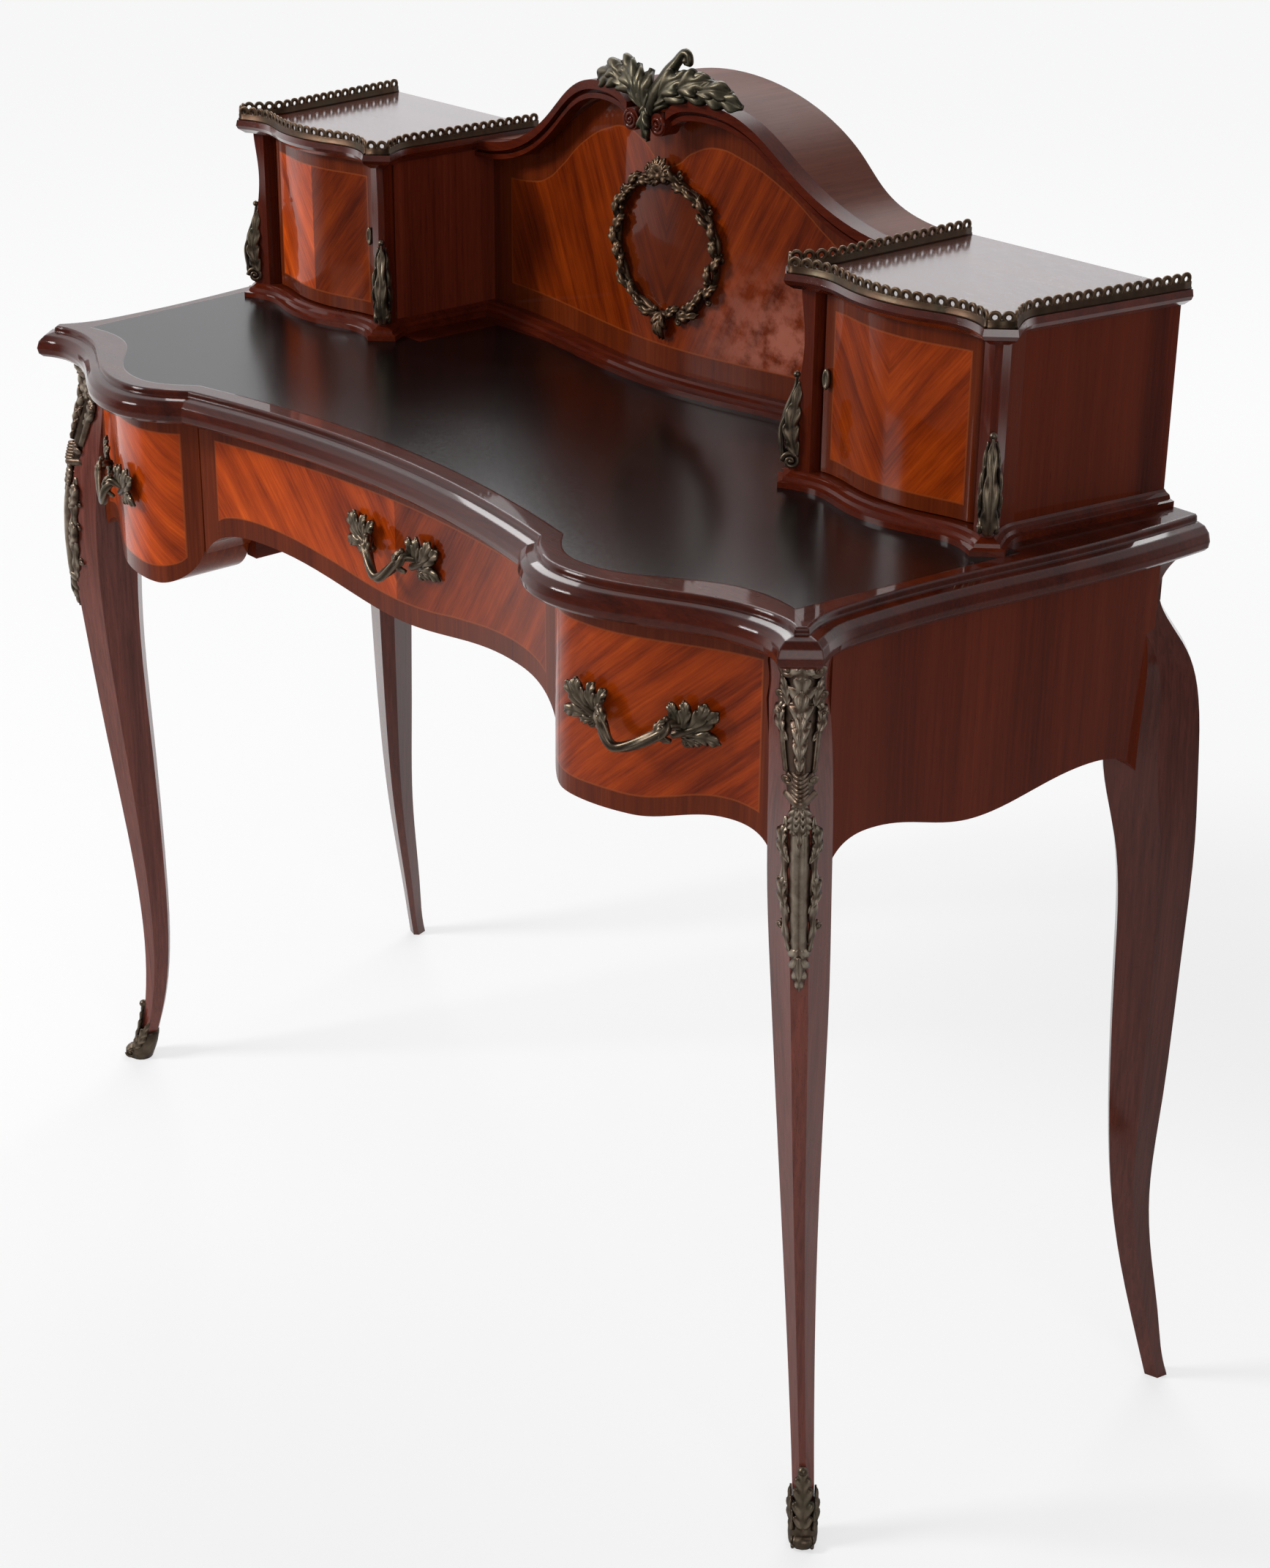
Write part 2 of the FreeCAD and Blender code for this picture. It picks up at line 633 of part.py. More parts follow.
right_front = side_front()
side_box = "seam_x + partition_thick / 2 + slide_gap"
for side, word in ((1, "right"), (-1, "left")):
    name = "drawer_" + word
    shape_node(name + "_front", sided(right_front, side))
    drawer_box(name, side_box, "box_outer_x - seam_x - partition_thick / 2 - slide_gap", "box_high", side)
    shape_node(name + "_handle", sided(handle(right_front, S.side_handle_x, S.side_handle_z), side))
centre_front = middle_front()
shape_node("drawer_middle_front", centre_front)
middle_half = "seam_x - partition_thick / 2 - slide_gap"
drawer_box("drawer_middle", "-(%s)" % middle_half, "2 * (%s)" % middle_half, "middle_box_high")
shape_node("drawer_middle_handle", handle(centre_front, 0, S.middle_handle_z))
doc.recompute()


# Cabinets
def cab_plan(inset):
    """Plan of the right cabinet, moved in by inset from the base moulding's edge."""
    down = unit(0, -1)
    ahead = unit(1, 0)
    back = unit(0, 1)
    in_cant = unit(1, -1)
    out_cant = unit(1, 1)
    in_side = unit(-0.5, -0.86)
    out_side = unit(-0.5, 0.86)
    rise = unit(0.85, 0.53)
    fall = unit(0.85, -0.53)
    cove_y = S.cab_ear_y + S.cab_hollow
    middle_x = (S.cab_in_x + S.cab_out_x) / 2
    cove_x = S.cab_cant * 1.6
    in_heel = V(S.cab_in_x - S.cab_cant, S.cab_ear_y + S.cab_cant, 0)
    out_heel = V(S.cab_out_x + S.cab_cant, S.cab_ear_y + S.cab_cant, 0)
    in_wall = in_heel.x + S.cab_side_cove
    out_wall = out_heel.x - S.cab_side_cove
    points = {
        "in_back": V(in_wall + inset, S.back_y, 0),
        "in_cove": shifted(V(in_wall, S.cab_cove_y, 0), inset, down),
        "in_heel": shifted(in_heel, inset, in_side, in_cant),
        "in_ear": shifted(V(S.cab_in_x, S.cab_ear_y, 0), inset, in_cant, rise),
        "in_dip": shifted(V(S.cab_in_x + cove_x, cove_y, 0), inset, ahead),
        "bow": shifted(V(middle_x, S.cab_bow_y, 0), inset, ahead),
        "out_dip": shifted(V(S.cab_out_x - cove_x, cove_y, 0), inset, ahead),
        "out_ear": shifted(V(S.cab_out_x, S.cab_ear_y, 0), inset, fall, out_cant),
        "out_heel": shifted(out_heel, inset, out_cant, out_side),
        "out_cove": shifted(V(out_wall, S.cab_cove_y, 0), inset, back),
        "out_back": V(out_wall + S.cab_flare - inset, S.back_y, 0),
    }
    p = points
    slant = unit(S.cab_flare, S.back_y - S.cab_cove_y)
    edges = [
        curve([p["in_back"], p["in_cove"], p["in_heel"]], [down, down, in_side]),
        line(p["in_heel"], p["in_ear"]),
        curve([p["in_ear"], p["in_dip"], p["bow"], p["out_dip"], p["out_ear"]],
              [rise, None, ahead, None, fall]),
        line(p["out_ear"], p["out_heel"]),
        curve([p["out_heel"], p["out_cove"], p["out_back"]], [out_side, slant, slant]),
    ]
    return points, edges


def cab_outline(inset):
    points, edges = cab_plan(inset)
    return Part.Wire(edges + [line(points["out_back"], points["in_back"])])


def middle_line(shift):
    """Serpentine line of the middle part's face, moved forward by shift."""
    half = S.side_face
    end_y = S.panel_end_y - shift
    ends = [V(-half, end_y, 0), V(0, S.panel_mid_y - shift, 0), V(half, end_y, 0)]
    return curve(ends, [unit(1, 0), unit(1, 0), unit(1, 0)]), ends[0], ends[2]


def middle_strip(shift_front, shift_back):
    """Plan of a strip between two such lines."""
    front, front_left, front_right = middle_line(shift_front)
    back, back_left, back_right = middle_line(shift_back)
    edges = [front, line(front_right, back_right), back, line(back_left, front_left)]
    return Part.Wire(Part.__sortEdges__(edges))


def middle_block(shift):
    """Plan from such a line to the back plane."""
    front, left, right = middle_line(shift)
    far_left = V(left.x, S.back_y, 0)
    far_right = V(right.x, S.back_y, 0)
    edges = [front, line(right, far_right), line(far_right, far_left), line(far_left, left)]
    return Part.Wire(Part.__sortEdges__(edges))


def base_levels():
    """Base moulding from below: nosing, ledge, cove and fillet."""
    shares = ((0, 0), (0.38, 0), (0.46, 0.6), (0.7, 0.75), (0.85, 1.3), (1, 1.6))
    return [(TOP_Z + S.plinth_high * rise, S.plinth_step * step) for rise, step in shares]


def plinth(pins):
    cabinet = ruled(base_levels(), cab_outline)
    middle = ruled(base_levels(), lambda inset: middle_block(3 * S.plinth_step - inset))
    shape = cabinet.fuse(mirrored(cabinet)).fuse(middle)
    return shape.cut(pins).cut(mirrored(pins)).removeSplitter()


def cornice(pins):
    low = S.floor_z + S.cab_high
    base = S.cornice_inset
    levels = [(low, base + S.cornice_thick * 0.6), (low + S.cornice_thick * 0.35, base + 1.5),
              (low + S.cornice_thick * 0.6, base), (low + S.cornice_thick, base + 1)]
    return ruled(levels, cab_outline).cut(pins)


def outer_side():
    """Outer side of the right cabinet, widening towards the back."""
    front = S.cab_cove_y - S.cab_side_cove - S.side_wall
    plan = []
    for face in (S.outer_face, S.outer_face - S.side_wall):
        run = [V(face, front, 0), V(face, S.cab_cove_y, 0), V(face + S.cab_flare, S.back_y, 0)]
        plan += run if not plan else run[::-1]
    return slab(Part.makePolygon(plan + plan[:1]), S.floor_z, S.floor_z + S.cab_high)


def cabinet_back(wall):
    """Back of the right cabinet, between its sides."""
    start = S.side_face + S.side_wall
    sheet = Part.makeBox(S.outer_face + S.cab_flare - start, S.cab_board, S.cab_high,
                         V(start, S.back_y - S.cab_board, S.floor_z))
    return innermost(sheet.cut(wall))


def pilaster(outer):
    """A canted console at a front corner of the right cabinet."""
    points, _ = cab_plan(S.post_inset)
    ends = ("out_ear", "out_heel") if outer else ("in_heel", "in_ear")
    corner = (points[ends[0]] + points[ends[1]]) * 0.5
    outward = V(DIAGONAL if outer else -DIAGONAL, -DIAGONAL, 0)
    across = V(DIAGONAL, DIAGONAL if outer else -DIAGONAL, 0)
    shares = ((0, 1), (0.1, 0.95), (0.3, 0.8), (0.6, 0.05), (0.85, 0.1), (1, 0.35))
    wires = []
    for share, swell in shares:
        z = S.floor_z + S.cab_high * share
        reach = [swell * S.post_swell, -S.post_deep * LEG_SHOULDER, -S.post_deep]
        spread = [S.post_half * LEG_CANT, S.post_half, S.post_half * LEG_INNER]
        right = [corner + outward * r + across * w for r, w in zip(reach, spread)]
        left = [corner + outward * r - across * w for r, w in zip(reach, spread)]
        ring = [p + V(0, 0, z) for p in right + left[::-1]]
        wires.append(Part.makePolygon(ring + ring[:1]))
    return Part.makeLoft(wires, True, False)


def leaf_mount(outer, post):
    """Bronze acanthus leaf on the foot of a pilaster."""
    points, _ = cab_plan(S.post_inset)
    ends = ("out_ear", "out_heel") if outer else ("in_heel", "in_ear")
    corner = (points[ends[0]] + points[ends[1]]) * 0.5
    outward = V(DIAGONAL if outer else -DIAGONAL, -DIAGONAL, 0)
    across = V(DIAGONAL, DIAGONAL if outer else -DIAGONAL, 0)
    shares = ((0.005, 11, 7), (0.13, 15, 7), (0.27, 15, 6.5), (0.4, 9.5, 5), (0.51, 4.5, 3))
    wires = []
    for share, out, wide in shares:
        z = S.floor_z + S.cab_high * share
        reach = [out, 0, -S.post_deep * 0.4]
        spread = [wide * 0.4, wide, wide * 0.8]
        right = [corner + outward * r + across * w for r, w in zip(reach, spread)]
        left = [corner + outward * r - across * w for r, w in zip(reach, spread)]
        ring = [p + V(0, 0, z) for p in right + left[::-1]]
        wires.append(Part.makePolygon(ring + ring[:1]))
    return largest(Part.makeLoft(wires, True, False).cut(post))


def pivot_place():
    """Door pivot: half a door's thickness in from the hinge edge."""
    face, _ = cab_plan(S.door_inset + S.door_thick / 2)
    x = S.outer_face - S.side_wall - S.door_gap - S.door_thick / 2
    return V(x, face["out_dip"].y, 0)


def pivots(grow=0):
    place = pivot_place()
    pins = []
    for z in (S.floor_z, S.floor_z + S.cab_high):
        pins.append(Part.makeCylinder(S.pivot_radius + grow, 2 * S.pivot_long,
                                      V(place.x, place.y, z - S.pivot_long)))
    return Part.makeCompound(pins)


def door():
    """Bow-fronted door; its hinge edge is round about the pivots."""
    front = cab_plan(S.door_inset)[1][2]
    back = cab_plan(S.door_inset + S.door_thick)[1][2]
    joins = [line(front.Vertexes[-1].Point, back.Vertexes[-1].Point),
             line(front.Vertexes[0].Point, back.Vertexes[0].Point)]
    strip = Part.Wire(Part.__sortEdges__([front, back] + joins))
    low = S.floor_z + S.door_gap
    high = S.floor_z + S.cab_high - S.door_gap
    place = pivot_place()
    free = S.side_face + S.side_wall + S.door_gap
    window = Part.makeBox(place.x - free, S.back_y, high - low, V(free, 0, low))
    edge = Part.makeCylinder(S.door_thick / 2, high - low, V(place.x, place.y, low))
    return slab(strip, low, high).common(window).fuse(edge).cut(pivots(S.pivot_gap)).removeSplitter()


def door_pull(leaf):
    """A small oval finger pull on the free edge of a door."""
    z = S.floor_z + S.cab_high * 0.53
    x = S.side_face + S.side_wall + S.door_gap + S.pull_wide + 1
    oval = Part.Ellipse(V(0, 0, 0), S.pull_tall, S.pull_wide).toShape()
    oval.rotate(V(0, 0, 0), V(0, 0, 1), 90)
    oval.rotate(V(0, 0, 0), V(1, 0, 0), 90)
    y = face_y(leaf, x, z)
    oval.translate(V(x, 0, z))
    return largest(standing(Part.Wire(oval), y - S.pull_out, y + S.pull_out).cut(leaf))


def gallery():
    """Scalloped rail along the front and both ends of a cabinet's top."""
    base = S.floor_z + S.cab_high + S.cornice_thick
    outer_points, outer = cab_plan(S.gallery_inset)
    inner_points, inner = cab_plan(S.gallery_inset + S.gallery_foot)
    ends = [line(outer_points[key], inner_points[key]) for key in ("in_back", "out_back")]
    shape = slab(Part.Wire(Part.__sortEdges__(outer + inner + ends)), base, base + S.gallery_band)
    middle = cab_plan(S.gallery_inset + S.gallery_foot / 2)[1]
    loops = []
    for edge in middle:
        count = max(2, round(edge.Length / S.loop_pitch))
        for k in range(count):
            u = edge.getParameterByLength(edge.Length * (k + 0.5) / count)
            spot = edge.valueAt(u)
            loops.append(gallery_loop(V(spot.x, spot.y, base + S.gallery_band), edge.tangentAt(u)))
    return shape.multiFuse(loops)


def gallery_loop(foot, along):
    """One scallop of the gallery, standing on the plain band."""
    across = inward(along)
    height = S.loop_radius * 0.6
    start = math.asin(height / S.loop_radius)
    turns = [-start + (math.pi + 2 * start) * k / 3 for k in range(4)]
    rim = [foot + along * (S.loop_radius * math.cos(a)) + V(0, 0, height + S.loop_radius * math.sin(a))
           for a in turns]
    face = Part.Face(Part.makePolygon(rim + rim[:1]))
    face.translate(across * (-S.gallery_thick / 2))
    return face.extrude(across * S.gallery_thick)


pins = pivots()
shape_node("plinth", plinth(pins))
posts = [pilaster(True), pilaster(False)]
mounts = [leaf_mount(True, posts[0]), leaf_mount(False, posts[1])]
right_door = door()
right_pull = door_pull(right_door)
right_cornice = cornice(pins)
right_gallery = gallery()
right_wall = largest(outer_side().cut(posts[0]))
for side, word in ((1, "right"), (-1, "left")):
    name = "cabinet_" + word
    wall_y = ("cab_cove_y - cab_side_cove", "back_y - cab_cove_y + cab_side_cove")
    shape_node(name + "_outer_side", sided(right_wall, side))
    keep(board(name + "_inner_side", ("side_face", wall_y[0], "floor_z"),
               ("side_wall", wall_y[1], "cab_high"), side), name + "_inner_side")
    shape_node(name + "_back", sided(cabinet_back(right_wall), side))
    shape_node(name + "_cornice", sided(right_cornice, side))
    shape_node(name + "_pilasters", sided(Part.makeCompound(posts), side))
    shape_node(name + "_leaf_mounts", sided(Part.makeCompound(mounts), side))
    shape_node(name + "_door", sided(right_door, side))
    shape_node(name + "_door_pull", sided(right_pull, side))
    shape_node(name + "_pivots", sided(pins, side))
    shape_node(name + "_gallery", sided(right_gallery, side))


# Arched middle part
def arch_curve(drop):
    """Upper line of the arch, lowered by drop."""
    half = S.side_face
    rise = [(-half, S.arch_low), (-S.arch_shoulder_x, S.arch_shoulder), (0, S.arch_high),
            (S.arch_shoulder_x, S.arch_shoulder), (half, S.arch_low)]
    points = [V(x, 0, TOP_Z + z - drop) for x, z in rise]
    level = V(1, 0, 0)
    return curve(points, [level, None, level, None, level]), points[0], points[-1]


def arch_band(upper, lower):
    top, top_left, top_right = arch_curve(upper)
    low, low_left, low_right = arch_curve(lower)
    return Part.Wire(Part.__sortEdges__([top, line(top_right, low_right), low, line(low_left, top_left)]))


def under_arch(drop):
    """Elevation from the base moulding up to the arch."""
    top, left, right = arch_curve(drop)
    low = S.floor_z
    corners = [V(right.x, 0, low), V(left.x, 0, low)]
    edges = [top, line(right, corners[0]), line(corners[0], corners[1]), line(corners[1], left)]
    return Part.Wire(Part.__sortEdges__(edges))


def clear_of_cornice(shape):
    return largest(shape.cut(right_cornice).cut(mirrored(right_cornice)))


def middle_panel():
    strip = slab(middle_strip(0, -S.panel_thick), S.floor_z, TOP_Z + S.arch_high)
    return clear_of_cornice(strip.common(standing(under_arch(S.arch_thick), 0, S.back_y)))


def arch_board():
    plan = slab(middle_block(S.crest_depth / 2), S.floor_z, TOP_Z + S.arch_high + 1)
    return clear_of_cornice(plan.common(standing(arch_band(0, S.arch_thick), 0, S.back_y)))


def crest_line(drop):
    """Upper line of the right half of the arch's moulding, lowered by drop, from its end to its scroll."""
    start = V(S.side_face, 0, TOP_Z + S.arch_low - drop)
    shoulder = V(S.arch_shoulder_x, 0, TOP_Z + S.arch_shoulder - drop)
    peak = V(S.crest_peak_x, 0, TOP_Z + S.arch_high - S.scroll_radius * 0.6 - drop)
    scroll_z = TOP_Z + S.arch_high - S.crest_dip
    fall = V(S.scroll_x + S.scroll_radius * 0.8, 0, scroll_z + S.crest_high * 0.8 - drop)
    back = V(-1, 0, 0)
    return curve([start, shoulder, peak, fall], [back, None, back, V(-0.75, 0, -0.66)]), start, fall


def crest_band(upper, lower):
    top, top_end, top_fall = crest_line(upper)
    low, low_end, low_fall = crest_line(lower)
    return Part.Wire(Part.__sortEdges__([top, line(top_fall, low_fall), low, line(low_end, top_end)]))


def crest_moulding():
    """Two stepped halves along the front of the arch, each ending in a scroll beside the middle."""
    front = S.crest_depth * 1.5
    top = TOP_Z + S.arch_high + 1
    half = None
    for depth, upper, lower in ((1, 0, 0.5), (0.72, 0.5, 0.72), (0.86, 0.72, 1)):
        strip = slab(middle_strip(front * depth, S.crest_depth / 2), S.floor_z, top)
        step = strip.common(standing(crest_band(S.crest_high * upper, S.crest_high * lower), 0, S.back_y))
        half = half.fuse(step) if half else step
    centre = V(S.scroll_x, S.panel_mid_y - front - 1, top - 1 - S.crest_dip)
    half = half.fuse(Part.makeCylinder(S.scroll_radius, front - S.crest_depth * 0.5, centre, V(0, 1, 0)))
    half = largest(half.cut(right_cornice))
    return Part.makeCompound([half, mirrored(half)])


def back_board():
    return clear_of_cornice(standing(under_arch(S.arch_thick), S.back_y - S.back_thick, S.back_y))


def wreath():
    """Oval bronze garland with a finial above and below, seated on the serpentine panel."""
    half = S.wreath_band / 2
    centre = V(0, 0, TOP_Z + S.wreath_z)
    ring = standing(wavy(centre, S.wreath_wide + half, S.wreath_tall + half, 12, 0.03), 0, S.back_y)
    ring = ring.cut(standing(wavy(centre, S.wreath_wide - half, S.wreath_tall - half, 6, 0.02), 0, S.back_y))
    for way, size in ((1, 1.1), (-1, 1.3)):
        finial = centre + V(0, 0, way * (S.wreath_tall + half * 1.2))
        ring = ring.fuse(standing(leaf_outline(finial, half * 1.5 * size, 5, 0.25), 0, S.back_y))
    strip = slab(middle_strip(S.mount_thick, 0), S.floor_z, TOP_Z + S.arch_high)
    return largest(ring.common(strip))


def crest_ornament(seats):
    """Bronze rocaille on the top of the arch: spread leaves and a curled tip."""
    top = TOP_Z + S.arch_high
    half = S.crest_half
    rise = S.crest_rise
    leaves = [(-0.9, -0.3), (-0.9, -0.06), (-0.78, 0.02), (-0.7, 0.2), (-0.56, 0.24), (-0.46, 0.36),
              (-0.32, 0.3), (-0.16, 0.36), (-0.02, 0.34), (0.1, 0.5), (0.28, 0.72), (0.42, 0.72),
              (0.46, 0.56), (0.36, 0.44), (0.46, 0.4), (0.6, 0.3), (0.72, 0.34), (0.86, 0.26), (1, 0.14),
              (1.08, 0.02), (1, -0.14), (0.5, -0.3), (0.04, -1.05), (-0.04, -1.05), (-0.45, -0.35)]
    points = [V(x * half, 0, top + z * rise) for x, z in leaves]
    front = S.panel_mid_y - S.crest_depth * 1.5 - S.mount_thick
    shape = standing(Part.makePolygon(points + points[:1]), front, front + S.crest_depth + S.mount_thick)
    for seat in seats:
        shape = shape.cut(seat)
    return largest(shape)


panel = middle_panel()
arch = arch_board()
bead = crest_moulding()
shape_node("middle_panel", panel)
shape_node("arch_board", arch)
shape_node("crest_moulding", bead)
shape_node("middle_back", back_board())
shape_node("wreath", wreath())
shape_node("crest_ornament", crest_ornament([bead, arch, panel]))

# Bronze mounts of the front legs
chute = mount_on_leg(front_stations, (0.66, 0.72, 0.78, 0.84, 0.90, 0.96, 0.99),
                     (3, 9, 12, 13, 11, 11, 9), (3, 8, 10, 11, 8, 8, 9), front_leg)
sabot = mount_on_leg(front_stations, (0.0, 0.02, 0.05, 0.085), (9, 8.5, 7, 3), (7, 5, 4, 3), front_leg)
for side, word in ((1, "right"), (-1, "left")):
    shape_node("leg_mount_" + word, sided(largest(chute), side))
    shape_node("sabot_" + word, sided(largest(sabot), side))


def save():
    doc.recompute()
    failed = [obj.Name for obj in doc.Objects if "Invalid" in obj.State or "Error" in obj.State]
    for obj in nodes:
        if obj.Shape.isNull() or not obj.Shape.isValid() or not obj.Shape.Solids:
            failed.append(obj.Label)
    if failed:
        raise RuntimeError("failed: " + ", ".join(failed))
    os.makedirs("parts", exist_ok=True)
    for obj in nodes:
        obj.Shape.exportStep("parts/%s.step" % obj.Label)


save()
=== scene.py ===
import math
import random

import bpy
from mathutils import Matrix, Vector


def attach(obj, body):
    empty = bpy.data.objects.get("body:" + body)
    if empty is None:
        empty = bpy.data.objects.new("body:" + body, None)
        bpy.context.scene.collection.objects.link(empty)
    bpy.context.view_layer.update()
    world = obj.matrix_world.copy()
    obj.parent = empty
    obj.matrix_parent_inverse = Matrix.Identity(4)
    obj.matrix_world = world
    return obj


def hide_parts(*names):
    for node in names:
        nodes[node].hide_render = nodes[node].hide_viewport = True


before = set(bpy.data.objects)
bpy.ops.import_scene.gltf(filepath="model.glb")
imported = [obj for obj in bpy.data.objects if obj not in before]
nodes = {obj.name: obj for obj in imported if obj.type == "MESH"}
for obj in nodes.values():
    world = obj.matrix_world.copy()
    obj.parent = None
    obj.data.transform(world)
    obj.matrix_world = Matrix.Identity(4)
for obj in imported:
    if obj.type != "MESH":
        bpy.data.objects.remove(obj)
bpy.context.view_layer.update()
SIDES = ("right", "left")
MM = 0.001


# Materials
class Nodes:
    """A node tree with short ways to add nodes and join them."""

    def __init__(self, tree):
        self.tree = tree

    def add(self, kind, inputs=None, **settings):
        made = self.tree.nodes.new("ShaderNode" + kind)
        for key, value in settings.items():
            setattr(made, key, value)
        for key, value in (inputs or {}).items():
            self.feed(made.inputs[key], value)
        return made

    def node(self, kind, inputs=None, pick=0, **settings):
        """An output of a new node, the first or another by name or number."""
        return self.add(kind, inputs, **settings).outputs[pick]

    def feed(self, socket, value):
        if isinstance(value, bpy.types.NodeSocket):
            self.tree.links.new(value, socket)
        else:
            socket.default_value = value

    def place(self, kind="Object"):
        """Position on the piece in metres, or other coordinates by name."""
        return self.node("TexCoord", pick=kind)

    def rays(self):
        """Whether a ray comes straight from the camera, from a gloss or from a dull surface."""
        path = self.add("LightPath").outputs
        direct = self.calc("MAXIMUM", path["Is Camera Ray"], path["Is Transmission Ray"])
        return direct, path["Is Glossy Ray"], path["Is Diffuse Ray"]

    def split(self, vector):
        return self.add("SeparateXYZ", {"Vector": vector}).outputs

    def join(self, x, y, z):
        return self.node("CombineXYZ", {"X": x, "Y": y, "Z": z})

    def calc(self, operation, a, b=0.0):
        return self.node("Math", {0: a, 1: b}, operation=operation)

    def less(self, a, b):
        return self.calc("SUBTRACT", a, b)

    def chain(self, operation, first, *others):
        """The operation carried through all the values in turn."""
        for other in others:
            first = self.calc(operation, first, other)
        return first

    def times(self, *values):
        return self.chain("MULTIPLY", *values)

    def weighted(self, *parts):
        """The sum of values, each times its own weight."""
        return self.chain("ADD", *(self.times(value, weight) for value, weight in parts))

    def nearest(self, *distances):
        return self.chain("MINIMUM", *distances)

    def within(self, value, low, high):
        """Distance from the nearer of two limits, inside them."""
        return self.nearest(self.less(value, low), self.less(high, value))

    def vector(self, operation, a, b):
        return self.node("VectorMath", {0: a, 1: b}, operation=operation)

    def noise(self, vector, scale, detail=3.0, rough=0.5, twist=0.0):
        inputs = {"Vector": vector, "Scale": scale, "Detail": detail, "Roughness": rough, "Distortion": twist}
        return self.node("TexNoise", inputs)

    def range(self, value, low, high, to_low=0.0, to_high=1.0):
        inputs = {"Value": value, "From Min": low, "From Max": high, "To Min": to_low, "To Max": to_high}
        return self.node("MapRange", inputs)

    def mix(self, share, low, high, blend="MIX"):
        inputs = {0: share, 6: low, 7: high}
        return self.node("Mix", inputs, pick=2, data_type="RGBA", blend_type=blend)

    def ramp(self, value, stops):
        made = self.add("ValToRGB", {"Fac": value})
        bands = made.color_ramp.elements
        while len(bands) < len(stops):
            bands.new(0.5)
        for band, (spot, colour) in zip(bands, stops):
            band.position = spot
            band.color = colour
        return made.outputs["Color"]

    def curve(self, value, points):
        """A drawn curve through points whose two coordinates run from 0 to 1."""
        made = self.add("FloatCurve", {"Value": value})
        line = made.mapping.curves[0]
        while len(line.points) < len(points):
            line.points.new(0.5, 0.5)
        for spot, (x, y) in zip(line.points, points):
            spot.location = (x, y)
        made.mapping.update()
        return made.outputs[0]


class Shader(Nodes):
    """The nodes of a new material."""

    def __init__(self, name):
        self.material = bpy.data.materials.new(name)
        self.material.use_nodes = True
        super().__init__(self.material.node_tree)
        self.surface = self.tree.nodes["Principled BSDF"]

    def set(self, **inputs):
        for key, value in inputs.items():
            self.feed(self.surface.inputs[key.replace("_", " ")], value)

    def wear(self, scale, low, high):
        """Roughness that changes in patches from low to high."""
        return self.range(self.noise(self.place(), scale, detail=4.0, rough=0.6), 0.3, 0.7, low, high)

    def bump(self, height, distance, strength=0.5, edge=0.0):
        """Relief on the surface; edge is how far the shading rounds the piece's corners."""
        inputs = {"Height": height, "Distance": distance, "Strength": strength}
        if edge:
            inputs["Normal"] = self.node("Bevel", {"Radius": edge}, samples=6)
            self.set(Coat_Normal=inputs["Normal"])
        self.set(Normal=self.node("Bump", inputs))


def rgb(red, green, blue):
    return (red, green, blue, 1.0)


def tones(dark, middle, light, at=0.5):
    """Colours from dark to light, with the place of the middle one between them."""
    return [(0.0, rgb(*dark)), (at, rgb(*middle)), (1.0, rgb(*light))]


def coat(weight, rough, ior=1.5, specular=0.05):
    """Surface inputs of a clear polish."""
    return {"Coat_Weight": weight, "Coat_Roughness": rough, "Coat_IOR": ior, "Specular_IOR_Level": specular}


ALONG_X, ALONG_Y, ALONG_Z = range(3)
GRAIN_STRETCH = 0.03
POLISH = coat(0.5, 0.045)
GLOSS = coat(1.0, 0.09, specular=0.1)
MIRROR = coat(1.0, 0.14, 1.75, 0.3)
EDGE = coat(0.8, 0.035)
SATIN = coat(0.14, 0.2)
WORN = coat(0.16, 0.3, 1.4, 0.06)
EDGE_ROUND = 0.0022

MAHOGANY_DARK = (0.028, 0.0042, 0.0018)
MAHOGANY = tones(MAHOGANY_DARK, (0.078, 0.0098, 0.0032), (0.125, 0.018, 0.005))
TOP = tones((0.018, 0.0028, 0.0012), (0.055, 0.0072, 0.0024), (0.092, 0.013, 0.004))
# Lit and shaded copies of the leg wood: the front legs' lighter, purplish tones are painted light and sheen,
# the back legs' darker copy is painted shade
LEG = tones((0.05, 0.009, 0.005), (0.15, 0.036, 0.024), (0.21, 0.05, 0.031), 0.6)
SHADED_BACK_LEG = tones(MAHOGANY_DARK, (0.092, 0.02, 0.012), (0.13, 0.029, 0.017), 0.6)
BAY = tones((0.07, 0.01, 0.005), (0.14, 0.022, 0.01), (0.2, 0.033, 0.014))
ARCH = tones((0.08, 0.022, 0.013), (0.13, 0.038, 0.022), (0.17, 0.053, 0.031))
OAK = tones((0.16, 0.085, 0.036), (0.27, 0.155, 0.07), (0.36, 0.22, 0.105))
GLOW = rgb(0.14, 0.022, 0.006)


def grain_space(shader, axis, fine=1.0):
    """Object space drawn out along the grain."""
    scale = [fine] * 3
    scale[axis] = fine * GRAIN_STRETCH
    return shader.vector("MULTIPLY", shader.place(), scale)


def streaks(shader, axis, seed):
    """Fine and broad streaks along the grain, from 0 to 1."""
    space = shader.vector("ADD", grain_space(shader, axis), (seed,) * 3)
    fine = shader.noise(space, 420.0, detail=4.0, rough=0.6, twist=0.3)
    broad = shader.noise(space, 34.0, twist=0.8)
    return shader.range(shader.weighted((fine, 0.45), (broad, 0.55)), 0.28, 0.72)


def pores(shader, axis):
    """Short dark dashes along the grain."""
    return shader.range(shader.noise(grain_space(shader, axis), 2600.0, detail=1.0), 0.62, 0.72)


